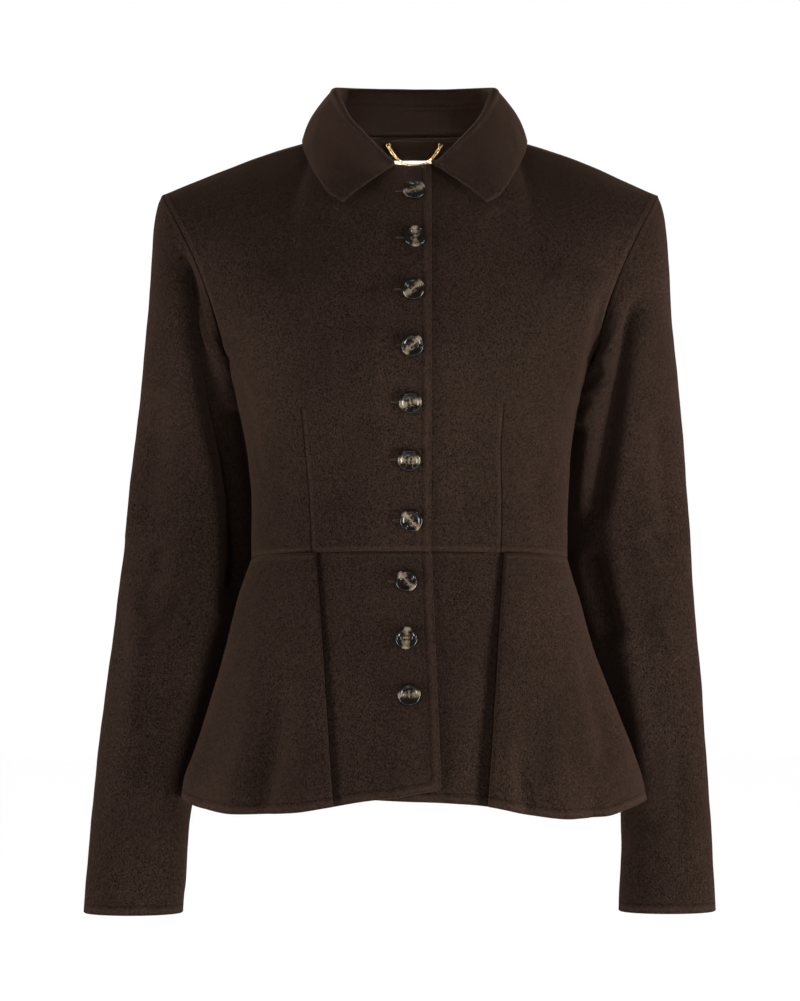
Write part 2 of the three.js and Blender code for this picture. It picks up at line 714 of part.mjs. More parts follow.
// Horn button: a dished disc with a thick round rim and four holes
function buttonGeometry() {
  const profile = [
    [0, -BUTTON_BACK], [7.6, -BUTTON_BACK], [9.2, -0.6], [BUTTON_RADIUS, 0.5],
    [9.1, 1.7], [7.9, 2.1], [6.7, 1.6], [5.6, 0.7], [0, 0.5],
  ].map(([x, y]) => new THREE.Vector2(x, y));
  const disc = new THREE.LatheGeometry(profile, 18);
  const toSolid = (geometry) => {
    geometry.deleteAttribute('normal');
    geometry.deleteAttribute('uv');
    const merged = BufferGeometryUtils.mergeVertices(geometry, 1e-4);
    return new wasm.Manifold(new wasm.Mesh({
      numProp: 3,
      vertProperties: new Float32Array(merged.attributes.position.array),
      triVerts: new Uint32Array(merged.index.array),
    }));
  };
  let solid = toSolid(disc);
  [45, 135, 225, 315].forEach((degrees) => {
    const a = THREE.MathUtils.degToRad(degrees);
    const hole = new THREE.CylinderGeometry(BUTTON_HOLE_RADIUS, BUTTON_HOLE_RADIUS, 6, 6);
    hole.translate(BUTTON_HOLE_OFFSET * Math.cos(a), 0, BUTTON_HOLE_OFFSET * Math.sin(a));
    solid = solid.subtract(toSolid(hole));
  });
  const result = solid.getMesh();
  const geometry = new THREE.BufferGeometry();
  geometry.setAttribute('position', new THREE.BufferAttribute(result.vertProperties, 3));
  geometry.setIndex(new THREE.BufferAttribute(result.triVerts, 1));
  const flat = geometry.toNonIndexed();
  flat.computeVertexNormals();
  return flat;
}
const buttonShape = buttonGeometry();

// Point and outward direction on the lapped front at a place seen from the front
function frontAt(x, z) {
  const side = x < 0 ? -1 : 1;
  const z0 = FRONT[0].z;
  if (z < z0) {
    const at = (z0 - z) / (z0 - column(HEM_RIGHT_FRONT, 'z', x, 'x'));
    const outline = peplumOutline(-1, at, true);
    const { point } = outline.at(outline.placeOfX(x));
    return point.y - lapLift(x);
  }
  let low = 0;
  let high = 1;
  const pointAt = (at) => {
    const row = (t) => bodyPoint(true, side, t, at);
    return row(placeAtX(row, Math.abs(x)));
  };
  for (let i = 0; i < 24; i += 1) {
    const middle = (low + high) / 2;
    if (pointAt(middle).z < z) low = middle;
    else high = middle;
  }
  return pointAt((low + high) / 2).y - lapLift(x);
}
BUTTONS.forEach((row, i) => {
  const y = frontAt(row.x, row.z);
  const slope = (frontAt(row.x, row.z + 8) - frontAt(row.x, row.z - 8)) / 16;
  const lean = Math.atan(slope);
  const mesh = new THREE.Mesh(buttonShape, horn());
  mesh.name = `button_${String(i + 1).padStart(2, '0')}`;
  const placed = new THREE.Group();
  placed.position.set(row.x, y, row.z);
  placed.rotation.x = -lean;
  const facing = new THREE.Group();
  facing.rotation.x = Math.PI;
  facing.position.y = -(BUTTON_BACK + BUTTON_SHANK);
  mesh.rotation.y = THREE.MathUtils.degToRad(row.turn);
  facing.add(mesh);
  placed.add(facing);
  jacket.add(placed);
});

// Point on the flat faces that the back's grid makes
function backFacet(side, t, at) {
  const spans = BODY_COLUMNS - 1;
  const column0 = Math.min(Math.floor(t * spans), spans - 1);
  let row0 = 0;
  while (row0 < BODY_ROWS - 2 && at > BODY_PLACES[row0 + 1]) row0 += 1;
  const corner = (i, j) => bodyPoint(false, side, (column0 + j) / spans, BODY_PLACES[row0 + i]);
  const s = t * spans - column0;
  const up = (at - BODY_PLACES[row0]) / (BODY_PLACES[row0 + 1] - BODY_PLACES[row0]);
  return corner(0, 0).lerp(corner(0, 1), s).lerp(corner(1, 0).lerp(corner(1, 1), s), up);
}

// Point a given depth inside the back's outer surface
function insideBack(x, at, depth) {
  const side = x < 0 ? -1 : 1;
  const pointAt = (t, place = at) => backFacet(side, t, place);
  const t = Math.max(placeAtX(pointAt, Math.abs(x)), 0.002);
  const point = pointAt(t);
  const across = pointAt(t + 0.02).sub(point);
  const up = point.clone().sub(pointAt(t, at - 0.01));
  const normal = across.cross(up).normalize();
  return point.addScaledVector(normal, -depth * Math.sign(normal.y));
}

// White tape label inside the back of the neck, bare
function neckLabel() {
  const gridAt = (depth) => range(4, (up) => range(9, (s) => (
    insideBack(NECK_X - LABEL_WIDTH / 2 + LABEL_WIDTH * s, 0.872 + 0.082 * up, depth))));
  const back = gridAt(CLOTH + SEAM_GAP + 0.2);
  const face = gridAt(CLOTH + SEAM_GAP + 0.2 + LABEL_THICKNESS);
  const positions = [];
  const quad = (a, b, c, d) => [a, b, c, a, c, d].forEach((p) => positions.push(...p.toArray()));
  const lastRow = face.length - 1;
  const lastColumn = face[0].length - 1;
  for (let i = 0; i < lastRow; i += 1) {
    for (let j = 0; j < lastColumn; j += 1) {
      quad(face[i][j], face[i][j + 1], face[i + 1][j + 1], face[i + 1][j]);
      quad(back[i][j], back[i + 1][j], back[i + 1][j + 1], back[i][j + 1]);
    }
    quad(face[i][0], face[i + 1][0], back[i + 1][0], back[i][0]);
    quad(face[i][lastColumn], back[i][lastColumn], back[i + 1][lastColumn], face[i + 1][lastColumn]);
  }
  for (let j = 0; j < lastColumn; j += 1) {
    quad(face[0][j], back[0][j], back[0][j + 1], face[0][j + 1]);
    quad(face[lastRow][j], face[lastRow][j + 1], back[lastRow][j + 1], back[lastRow][j]);
  }
  const geometry = new THREE.BufferGeometry();
  geometry.setAttribute('position', new THREE.Float32BufferAttribute(positions, 3));
  geometry.computeVertexNormals();
  const mesh = new THREE.Mesh(geometry, whiteTape);
  mesh.name = 'neck_label';
  return mesh;
}
jacket.add(neckLabel());

// Hanging chain across the back of the neck, as the space its links take
function hangerChain() {
  const clear = CLOTH + SEAM_GAP + CHAIN_RADIUS + 0.1;
  const left = insideBack(NECK_X - CHAIN_WIDTH / 2, 0.985, clear);
  const right = insideBack(NECK_X + CHAIN_WIDTH / 2, 0.985, clear);
  const points = range(9, (s) => {
    const sag = 1 - Math.abs(s * 2 - 1) ** 1.9;
    const p = left.clone().lerp(right, s);
    p.z -= CHAIN_DROP * sag;
    p.y -= 9 * sag;
    return p;
  });
  const section = new THREE.Shape();
  section.absarc(0, 0, CHAIN_RADIUS, 0, Math.PI * 2, false);
  const geometry = new THREE.ExtrudeGeometry(section, {
    steps: 20,
    curveSegments: 3,
    extrudePath: new THREE.CatmullRomCurve3(points),
    bevelEnabled: false,
  });
  const mesh = new THREE.Mesh(geometry, gold);
  mesh.name = 'hanger_chain';
  return mesh;
}
jacket.add(hangerChain());

export default jacket;
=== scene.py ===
# %% [markdown]
# # A fitted wool jacket with a peplum
# The jacket stands in the shape it has when worn, with nobody inside. Every piece of cloth is
# a thin shell with two faces and a rounded cut edge, laid on the form of the solid it stands for.
# All sizes are in millimetres until a mesh is made, where they become metres.

import json
import math

import bpy
import numpy as np
from mathutils import Matrix, Vector

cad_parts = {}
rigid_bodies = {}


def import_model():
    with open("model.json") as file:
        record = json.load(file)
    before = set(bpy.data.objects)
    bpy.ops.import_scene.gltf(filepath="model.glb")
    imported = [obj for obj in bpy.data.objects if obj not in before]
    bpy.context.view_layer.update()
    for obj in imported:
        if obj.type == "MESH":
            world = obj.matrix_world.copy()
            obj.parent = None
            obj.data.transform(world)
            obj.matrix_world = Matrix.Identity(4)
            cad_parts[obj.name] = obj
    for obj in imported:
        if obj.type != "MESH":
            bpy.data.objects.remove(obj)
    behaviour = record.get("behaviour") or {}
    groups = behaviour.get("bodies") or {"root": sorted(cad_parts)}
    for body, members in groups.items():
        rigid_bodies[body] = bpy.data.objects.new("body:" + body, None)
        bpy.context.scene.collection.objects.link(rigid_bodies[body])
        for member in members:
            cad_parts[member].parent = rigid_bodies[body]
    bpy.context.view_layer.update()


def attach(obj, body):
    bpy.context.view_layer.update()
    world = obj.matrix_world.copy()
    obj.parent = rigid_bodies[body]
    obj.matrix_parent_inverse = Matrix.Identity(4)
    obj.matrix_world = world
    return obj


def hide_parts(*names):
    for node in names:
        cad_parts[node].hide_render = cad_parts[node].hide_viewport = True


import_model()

# %% [markdown]
# ## Camera
# The photograph is taken level, from far away, with a long lens, so the near and far sides of
# the jacket are almost the same size. The camera looks along +Y from 4 m, at the height of the
# middle of the picture, and shows 688 by 861 mm at the jacket.

# %% Camera
camera_data = bpy.data.cameras.new("camera")
camera_data.sensor_width = 36
camera_data.lens = 36 * 4000 / 861
camera_data.clip_end = 50
camera = bpy.data.objects.new("camera", camera_data)
camera.location = (-0.0086, -4.0, -0.3083)
camera.rotation_euler = (math.radians(90), 0, 0)
bpy.context.scene.collection.objects.link(camera)
bpy.context.scene.camera = camera
print("lens", round(camera_data.lens, 1))

# %% [markdown]
# ## The pattern's sizes
# The form is a few short tables, one row for each level of the body, with the depth and height
# at the centre. Another way would be to sculpt it, but tables keep the left and right sides
# alike and let every seam be worked out from the two pieces that it joins. CLOTH is how thick
# the wool is, LAYER_STEP how far apart two lapped layers lie, and GRID the spacing of the mesh.

# %% Sizes and tables of the form
CLOTH = 2.2
LAYER_STEP = 2.9
SIDE_Y = 4.0
RIGHT_EDGE_X, RIGHT_HEM_EDGE_X = 17.0, 25.0
LEFT_EDGE_X, LEFT_HEM_EDGE_X = -28.0, -32.0
LAP_FULL_X, LAP_START_X = -34.0, -62.0
ARMPIT_AT = 0.51
ARMPIT_X, ARMPIT_Z = 157.0, -188.0
TIP_X, TIP_Z = 213.0, -46.0
ARMHOLE_FRONT, ARMHOLE_BACK, ARMHOLE_HOLLOW = -57.0, 60.0, 8.0
NECK_X, NECK_HALF, NECK_FRONT_Y, NECK_BACK_Y = 4.0, 78.0, -72.0, 66.0
NECK_SHARE = 0.44
PLEAT_TOP_X, PLEAT_HEM_X = 82.0, 67.0
PLEAT_DEPTH_TOP, PLEAT_DEPTH_HEM = 22.0, 30.0
GRID = 3.6


def table(names, rows):
    """Rows of numbers as named columns."""
    return {key: np.array([row[i] for row in rows], float) for i, key in enumerate(names.split())}


FRONT = table("at y z corner fullness", [
    [0.00, -98, -351, 1.00, 0.80],
    [0.18, -105, -292, 1.00, 0.80],
    [0.34, -116, -239, 1.00, 0.80],
    [0.46, -124, -200, 1.00, 0.79],
    [0.51, -125, -183, 1.00, 0.78],
    [0.60, -121, -154, 0.98, 0.76],
    [0.70, -115, -122, 0.94, 0.74],
    [0.80, -105, -90, 0.88, 0.72],
    [0.90, -91, -58, 0.80, 0.70],
    [1.00, -72, -26, 0.70, 0.70],
])
BACK = table("at y z corner fullness", [
    [0.00, 92, -355, 1.00, 0.80],
    [0.18, 99, -293, 1.00, 0.80],
    [0.40, 111, -212, 1.00, 0.80],
    [0.51, 115, -172, 1.00, 0.78],
    [0.70, 117, -104, 0.95, 0.76],
    [0.85, 104, -48, 0.88, 0.74],
    [1.00, 66, 9, 0.70, 0.70],
])
SIDE_SEAM = table("at left right z", [
    [0.00, 136.5, 135.5, -359.5],
    [0.12, 136.5, 135.5, -320],
    [0.25, 139, 137.5, -276],
    [0.38, 147, 144, -232],
    [0.45, 153, 151, -208],
    [0.51, 157, 157, -188],
])
NECK = table("at z", [[0, -26], [30, -20], [60, -8], [90, 3], [120, 6.5], [150, 8.5], [180, 9]])
PEPLUM = table("at left right front back fullness back_fullness", [
    [0.00, 136.5, 135.5, 98, 92, 0.80, 0.80],
    [0.07, 142, 140, 102, 97, 0.79, 0.77],
    [0.14, 147, 145, 106, 102, 0.78, 0.74],
    [0.30, 156, 154, 112, 109, 0.76, 0.70],
    [0.46, 165, 166, 119, 117, 0.74, 0.67],
    [0.64, 176, 181, 127, 127, 0.72, 0.66],
    [0.80, 187, 193, 134, 136, 0.71, 0.66],
    [0.92, 195, 201, 139, 142, 0.71, 0.66],
    [1.00, 197, 204, 141, 145, 0.71, 0.66],
])
HEM_RIGHT_FRONT = table("at z", [
    [-200, -563], [-180, -569], [-145, -571], [-100, -568.5],
    [-67, -563], [-40, -558], [-10, -554], [12, -550], [30, -547],
])
HEM_LEFT_FRONT = table("at z", [
    [-40, -556], [-10, -557.5], [30, -559], [62, -562],
    [100, -570], [135, -574.5], [165, -574], [190, -568], [207, -564],
])
HEM_BACK = table("at z", [
    [-207, -563], [-150, -572], [-70, -574], [0, -570], [70, -574], [150, -575], [207, -564],
])
SLEEVE_COLUMNS = "at out_x out_z in_x in_z mid_y half armhole"
RIGHT_SLEEVE = table(SLEEVE_COLUMNS, [
    [0, 213.4, -46.2, 157.4, -188.2, 5, 58, 1.00],
    [1, 223.6, -58, 150.9, -191.5, 5, 59, 0.85],
    [2, 224.6, -76, 151.2, -195, 7, 61, 0.55],
    [3, 224.8, -102, 151.8, -200, 10, 62, 0.28],
    [4, 225.7, -135, 151.6, -209, 16, 62, 0.10],
    [5, 229, -172, 149.5, -223, 24, 60, 0.02],
    [6, 233, -210, 144.8, -245, 35, 57, 0],
    [7, 239, -255, 138.5, -278, 47, 50, 0],
    [8, 245, -305, 134, -318, 57, 44, 0],
    [9, 251, -358, 134, -362, 65, 41, 0],
    [10, 258, -410, 141, -408, 71, 38, 0],
    [11, 265, -462, 152, -458, 72, 37, 0],
    [12, 271, -512, 170, -508, 70, 37, 0],
    [13, 276, -560, 187, -556, 63, 36, 0],
    [14, 280, -610, 194.5, -606, 55, 35, 0],
    [15, 284, -666, 197.5, -666, 47, 34, 0],
])
LEFT_SLEEVE = table(SLEEVE_COLUMNS, [
    [0, 213.4, -46.2, 157.4, -188.2, 5, 58, 1.00],
    [1, 223.6, -59, 150.9, -191.5, 5, 59, 0.85],
    [2, 225.2, -78, 150.6, -195, 7, 61, 0.55],
    [3, 225.2, -104, 150.2, -200, 10, 62, 0.28],
    [4, 226.2, -137, 149.4, -209, 16, 62, 0.10],
    [5, 229, -174, 147, -223, 24, 60, 0.02],
    [6, 233, -212, 142.3, -245, 35, 57, 0],
    [7, 238, -257, 137, -278, 47, 50, 0],
    [8, 242, -306, 133, -318, 57, 44, 0],
    [9, 246, -359, 133, -362, 65, 41, 0],
    [10, 250, -410, 141, -408, 73, 38, 0],
    [11, 255, -462, 152, -458, 78, 37, 0],
    [12, 259, -512, 169, -508, 81, 37, 0],
    [13, 262.5, -560, 184.5, -556, 82, 36, 0],
    [14, 265, -610, 185, -606, 76, 35, 0],
    [15, 267.5, -666, 182.5, -666, 65, 34, 0],
])
COLLAR = table("at angle lift roll_x roll_y roll_z edge_x edge_y edge_z", [
    [0, 180, 0.5, 0, 66, 50, 0, 92, -1],
    [1, 158, 0.5, 25.5, 62, 50, 37, 86, -1],
    [2, 136, 0.5, 46, 48, 49.5, 68, 66, -1],
    [3, 113, 0.5, 61, 25, 48, 89, 34, 0],
    [4, 90, 0.5, 66, 0, 45, 95.5, 2, 1],
    [5, 72, 0.5, 62, -20, 33, 94, -23, -8],
    [6, 55, 0.6, 54, -39, 17.5, 88, -52, -23],
    [7, 40, 0.8, 43, -55, 4, 80, -76, -37],
    [8, 26, 1.2, 30, -67, -10.5, 71, -93, -50],
    [9, 13, 1.6, 18, -77.5, -23, 60.5, -101, -57],
])
BUTTONS = table("x z turn streak", [
    [3.2, -48, 20, 20],
    [4, -88, 5, 90],
    [2.5, -132, 40, 40],
    [1.7, -179, 35, 45],
    [0, -226, 100, 10],
    [-1, -274, 80, 0],
    [0.8, -325, 130, 135],
    [-3.2, -376, 135, 130],
    [-3.2, -423.5, 0, 85],
    [-1, -470.5, 90, 5],
])
print("tables ready:", len(FRONT["at"]), "front levels,", len(BUTTONS["x"]), "buttons")

# %% [markdown]
# ## Curves through the tables
# A monotone cubic runs through each column, so the surface is smooth between levels and never
# swings past a stated size. A rounded quarter outline joins the centre front to the side seam.

# %% Helper curves


def column(rows, key, at):
    """Smooth value of one column, without overshoot."""
    x, y = rows["at"], rows[key]
    slope = np.diff(y) / np.diff(x)
    tangent = np.empty_like(y)
    tangent[0], tangent[-1] = slope[0], slope[-1]
    product, total = slope[:-1] * slope[1:], slope[:-1] + slope[1:]
    tangent[1:-1] = np.where(product <= 0, 0, 2 * product / np.where(total == 0, 1, total))
    at = np.clip(at, x[0], x[-1])
    i = np.clip(np.searchsorted(x, at, side="right") - 1, 0, len(x) - 2)
    width = x[i + 1] - x[i]
    t = (at - x[i]) / width
    return ((2 * t**3 - 3 * t**2 + 1) * y[i] + (t**3 - 2 * t**2 + t) * width * tangent[i]
            + (3 * t**2 - 2 * t**3) * y[i + 1] + (t**3 - t**2) * width * tangent[i + 1])


def smooth(low, high, value):
    t = np.clip((np.asarray(value, float) - low) / (high - low), 0, 1)
    return t * t * (3 - 2 * t)


def lerp(a, b, t):
    return a + (b - a) * t


def points(x, y, z):
    return np.stack(np.broadcast_arrays(x, y, z), axis=-1).astype(float)


def quarter(centre_y, side_x, side_y, corner, fullness, t):
    """Rounded quarter outline, from the centre (t = 0) to the side (t = 1)."""
    w0, w1, w2 = (1 - t) ** 2, 2 * t * (1 - t) * fullness, t * t
    corner_y = lerp(side_y, centre_y, 0.5 + corner / 2)
    total = w0 + w1 + w2
    return ((w1 * side_x * corner + w2 * side_x) / total,
            (w0 * centre_y + w1 * corner_y + w2 * side_y) / total)


def armhole_point(side, turn, depth):
    q = (1 - np.cos(np.pi * turn)) / 2
    hollow = ARMHOLE_HOLLOW * np.sin(np.pi * q) * np.where(depth < 0, 1, 0.6)
    return points(side * (lerp(ARMPIT_X, TIP_X, q) - hollow),
                  SIDE_Y + depth * np.sin(np.pi * turn), lerp(ARMPIT_Z, TIP_Z, q))


def neck_point(side, angle):
    a = np.radians(angle)
    middle, half = (NECK_FRONT_Y + NECK_BACK_Y) / 2, (NECK_BACK_Y - NECK_FRONT_Y) / 2
    return points((side * NECK_HALF + NECK_X) * np.sin(a), middle - half * np.cos(a),
                  column(NECK, "z", angle))


def body_edge(side, at, depth):
    """Side seam below the armpit, armhole above it."""
    if at > ARMPIT_AT:
        return armhole_point(side, (at - ARMPIT_AT) / (1 - ARMPIT_AT), depth)
    x = column(SIDE_SEAM, "left" if side < 0 else "right", at)
    return points(side * x, SIDE_Y, column(SIDE_SEAM, "z", at))


def body_top(side, t, front):
    """Top edge of a body panel: the neck, then the shoulder seam."""
    share = np.clip(t / NECK_SHARE, 0, 1) * 90
    neck = neck_point(side, share if front else 180 - share)
    s = np.clip((t - NECK_SHARE) / (1 - NECK_SHARE), 0, 1)[:, None]
    shoulder = lerp(neck_point(side, np.array([90.0])), np.array([[side * TIP_X, SIDE_Y, TIP_Z]]), s)
    shoulder[:, 2] += (5 * np.sin(np.pi * s) * (1 - s * 0.5))[:, 0]
    return np.where((t <= NECK_SHARE)[:, None], neck, shoulder)


def body_row(rows, depth, side, t, at):
    edge = body_edge(side, at, depth)
    x, y = quarter(column(rows, "y", at), abs(edge[0]), edge[1],
                   column(rows, "corner", at), column(rows, "fullness", at), t)
    return points(side * x, y, lerp(column(rows, "z", at), edge[2], t * t))


def body_point(front, side, t, at):
    """Outer surface of the body: t from centre to side, at from waist to top."""
    rows, depth = (FRONT, ARMHOLE_FRONT) if front else (BACK, ARMHOLE_BACK)
    row = body_row(rows, depth, side, t, at)
    drawn = max(0.0, (at - 0.6) / 0.4) ** 2
    if drawn > 0:
        row = row + drawn * (body_top(side, t, front) - body_row(rows, depth, side, t, 1.0))
    return row


def lap_lift(x):
    """How far the right front is lifted over the left one."""
    return LAYER_STEP * smooth(LAP_START_X, LAP_FULL_X, x)


def lap_growth(at):
    """The lift grows by up to a half from the chest to the neck."""
    return 1 + 0.5 * max(0.0, (at - 0.6) / 0.4) ** 2


def places(low, high, step):
    return np.linspace(low, high, int(round(abs(high - low) / step)) + 1)


row_test = body_point(True, -1, np.linspace(0, 1, 5), 0.5)
print("front row at the bust:", row_test.round(1).tolist())

# %% [markdown]
# ## Folds placed one by one
# Wool this thick makes few, soft folds. Each is a line drawn as it shows in the front view,
# with a width, and a height that is below zero for a trough. The back gets similar ones. A cloth
# simulation could make folds too, but not these ones, in these places. Four numbers after the
# tables hold for all folds: how much deeper and narrower they are made than listed, below which
# height a fold runs out over the hem, and how much of it is then left.

# %% Fold lines: width, height, face (-1 front, 1 back, 0 both, 2 all round), and points of x, z
FOLDS = {
    "right_sleeve": [
        (14, 7.0, 0, [(-205, -93), (-192, -162), (-183, -222), (-170, -269), (-162, -300),
                      (-161, -359), (-169, -411), (-181, -450), (-189, -485), (-200, -531),
                      (-206, -560), (-205, -592), (-198, -640)]),
        (14, -10.0, -1, [(-193, -80), (-180, -160), (-165, -222), (-154, -274), (-149, -316),
                         (-149, -360), (-156, -410)]),
        (13, 4.5, 2, [(-156, -170), (-157, -198), (-153, -214), (-149, -232)]),
        (14, -3.5, -1, [(-219, -210), (-222, -270), (-230, -330)]),
        (9, 2.5, -1, [(-228, -250), (-240, -300), (-246, -350)]),
        (12, 3.0, -1, [(-235, -380), (-238, -450), (-247, -520)]),
        (8, -2.5, -1, [(-214, -345), (-222, -380), (-236, -405)]),
        (7, -2.0, -1, [(-196, -392), (-212, -420), (-234, -436)]),
        (10, -2.5, -1, [(-224, -500), (-232, -560), (-236, -610)]),
        (9, -2.5, 1, [(-215, -270), (-190, -300), (-165, -320)]),
        (8, -2.2, 1, [(-225, -360), (-200, -385), (-175, -395)]),
        (12, 2.5, 1, [(-225, -420), (-232, -480), (-242, -560)]),
    ],
    "left_sleeve": [
        (10, -7.5, -1, [(198, -127), (185, -170), (174, -222), (163, -291), (154, -330)]),
        (8, 4.5, -1, [(161, -200), (157, -240), (153, -285), (152, -325)]),
        (3.5, -2.2, -1, [(158, -184), (161, -200), (156, -214)]),
        (3.5, -1.8, -1, [(163, -206), (158, -222), (152, -232)]),
        (9, -6.0, 0, [(156, -352), (168, -395), (179, -432)]),
        (13, 4.5, 2, [(152, -168), (150, -200), (149, -226), (146, -246)]),
        (13, 5.0, -1, [(190, -190), (183, -270), (172, -335), (186, -420), (200, -500), (207, -570)]),
        (12, -3.5, -1, [(214, -230), (222, -300), (228, -350)]),
        (8, -2.5, -1, [(206, -330), (220, -356), (236, -370)]),
        (9, 2.2, -1, [(212, -400), (226, -430), (238, -445)]),
        (10, -2.8, -1, [(228, -470), (234, -540), (236, -600)]),
        (9, -2.5, 1, [(215, -270), (190, -300), (165, -320)]),
        (8, -2.2, 1, [(225, -365), (200, -388), (178, -398)]),
        (12, 2.5, 1, [(218, -420), (226, -480), (236, -560)]),
    ],
    "right_front": [
        (16, 3.0, -1, [(-176, -120), (-166, -170), (-150, -215)]),
        (9, -2.4, -1, [(-150, -195), (-138, -240), (-130, -290)]),
        (12, -1.6, -1, [(-120, -350), (-110, -320), (-104, -290)]),
        (18, -1.8, -1, [(-60, -60), (-86, -92), (-120, -118)]),
        (20, -1.5, -1, [(-38, -225), (-52, -270), (-56, -320)]),
        (12, 1.4, -1, [(-22, -120), (-30, -200), (-26, -280)]),
    ],
    "left_front": [
        (9, -2.6, -1, [(165, -130), (154, -180), (146, -225)]),
        (13, 2.6, -1, [(158, -110), (146, -170), (136, -230)]),
        (11, -1.8, -1, [(122, -352), (112, -322), (106, -285)]),
        (18, -1.8, -1, [(66, -66), (92, -95), (126, -116)]),
        (16, -1.5, -1, [(44, -230), (52, -275), (50, -320)]),
        (4, -0.8, -1, [(122, -100), (130, -104), (140, -114)]),
    ],
    "back": [
        (14, -2.0, 1, [(-165, -120), (-150, -180), (-138, -250)]),
        (14, -2.0, 1, [(165, -125), (150, -185), (138, -255)]),
        (16, 1.5, 1, [(-60, -330), (-20, -310), (30, -325)]),
        (12, -1.5, 1, [(-90, -345), (0, -335), (90, -348)]),
    ],
    "right_front_peplum": [
        (12, -7.0, -1, [(-101, -440), (-108, -480), (-116, -520), (-128, -575)]),
        (15, 5.0, -1, [(-124, -430), (-134, -490), (-148, -572)]),
        (13, -3.5, -1, [(-160, -460), (-172, -520), (-182, -575)]),
        (12, 2.2, -1, [(-86, -420), (-86, -480), (-88, -572)]),
        (14, -2.2, -1, [(-30, -420), (-34, -480), (-36, -572)]),
        (12, 2.0, -1, [(-6, -400), (-8, -470), (-8, -572)]),
    ],
    "left_front_peplum": [
        (7, -4.0, -1, [(85, -500), (92, -540), (99, -575)]),
        (10, 3.6, -1, [(75, -480), (79, -530), (82, -570)]),
        (6, -3.0, -1, [(149, -545), (154, -560), (158, -580)]),
        (13, 4.0, -1, [(110, -470), (120, -520), (130, -580)]),
        (12, -3.5, -1, [(150, -430), (160, -480), (172, -535)]),
        (13, 2.2, -1, [(44, -400), (44, -470), (40, -572)]),
    ],
    "back_peplum": [
        (16, 4.0, 1, [(-110, -400), (-122, -480), (-132, -580)]),
        (14, -4.0, 1, [(-70, -410), (-78, -490), (-84, -580)]),
        (16, 3.5, 1, [(-20, -420), (-22, -500), (-26, -580)]),
        (14, -3.5, 1, [(30, -400), (36, -480), (40, -580)]),
        (16, 4.0, 1, [(85, -410), (96, -490), (104, -580)]),
        (12, -3.0, 1, [(125, -420), (142, -500), (150, -580)]),
    ],
}
DARTS = {
    "right_front": [(-83.4, -353), (-85, -308), (-89, -265), (-91.5, -228)],
    "left_front": [(76.5, -353), (77.5, -308), (76, -265), (78.5, -226)],
}
FOLD_DEPTH, FOLD_WIDTH = 1.7, 0.85
HEM_FOLD_Z, HEM_FOLD_SHARE = -569, 0.75
DART_DEPTH, DART_WIDTH = 0.9, 6
SEAM_FADE = 14


def distance_to_line(x, z, line):
    """Distance to a line of points in the front view, and how far along it, from 0 to 1."""
    line = np.array(line, float)
    lengths = np.hypot(*np.diff(line, axis=0).T)
    before = np.concatenate([[0], np.cumsum(lengths)])
    best, along = np.full(x.shape, 1e9), np.zeros(x.shape)
    for k, (a, b) in enumerate(zip(line[:-1], line[1:])):
        d = b - a
        s = np.clip(((x - a[0]) * d[0] + (z - a[1]) * d[1]) / (d @ d), 0, 1)
        gap = np.hypot(x - a[0] - s * d[0], z - a[1] - s * d[1])
        nearer = gap < best
        best = np.where(nearer, gap, best)
        along = np.where(nearer, (before[k] + s * lengths[k]) / before[-1], along)
    return best, along


def unevenness(p):
    """Slow waves of under a millimetre, the same on both sides of a seam."""
    x, y, z = p[..., 0], p[..., 1], p[..., 2]
    return (0.45 * np.sin(x / 31 + z / 47 + 0.6) * np.sin(z / 38 - y / 29)
            + 0.3 * np.sin(x / 17 - z / 23 + 1.7) * np.sin(z / 19 + y / 15 + 0.4)
            + 0.12 * np.sin(x / 7.3 + z / 9.1) * np.sin(z / 8.3 - x / 11))


def surface_normals(grid, wrap=False):
    if wrap:
        across = np.roll(grid, -1, axis=1) - np.roll(grid, 1, axis=1)
    else:
        across = np.gradient(grid, axis=1)
    normal = np.cross(across, np.gradient(grid, axis=0))
    return normal / np.maximum(np.linalg.norm(normal, axis=-1, keepdims=True), 1e-9)


def fold_shift(name, grid, normal, seam):
    """How far each point moves out for the folds and the slow waves, fading at the seams."""
    x, z = grid[..., 0], grid[..., 2]
    shift = unevenness(grid)
    for width, height, face, line in FOLDS.get(name, []):
        gap, along = distance_to_line(x, z, line)
        facing = np.abs(normal[..., 1]) if face == 0 else np.clip(face * normal[..., 1] * 1.6, 0, 1)
        facing = np.ones_like(facing) if face == 2 else facing
        ends = smooth(0, 0.12, along) * smooth(0, 0.12, 1 - along)
        if line[-1][1] < HEM_FOLD_Z:
            ends = HEM_FOLD_SHARE * smooth(0, 0.7, along)
        crest = np.exp(-((gap / (FOLD_WIDTH * width)) ** 2))
        shift = shift + FOLD_DEPTH * height * crest * facing * ends * smooth(0, SEAM_FADE, seam)
    if name in DARTS:
        gap, along = distance_to_line(x, z, DARTS[name])
        shift = shift - DART_DEPTH * np.exp(-((gap / DART_WIDTH) ** 2)) * (1 - along) ** 0.5
    return shift[..., None]


def fold_cloth(name, grid, seam, wrap=False):
    normal = surface_normals(grid, wrap)
    return grid + normal * fold_shift(name, grid, normal, seam)


print("folds placed:", sum(len(v) for v in FOLDS.values()))

# %% [markdown]
# ## Making a cloth wall
# Double-faced wool has no lining, and its cut edges are turned in and felled, so they are soft
# and rounded. A wall is the outer face, the inner face 2.2 mm behind it and a rounded rim. Each
# point also keeps how far it is from a finished edge, a seam and a dart, in millimetres, which
# the wool's shader turns into stitch grooves. That holds a crisp line without a dense mesh. An
# edge's rim stands out 0.8 mm and a seam's 0.1 mm, and the pleats' inner layers start 4 mm
# higher, tucked up behind the waist seam.

# %% Cloth wall builder
FAR_OFF = 99.0
SEAM_RIM, EDGE_RIM, TUCK = 0.1, 0.8, 4.0


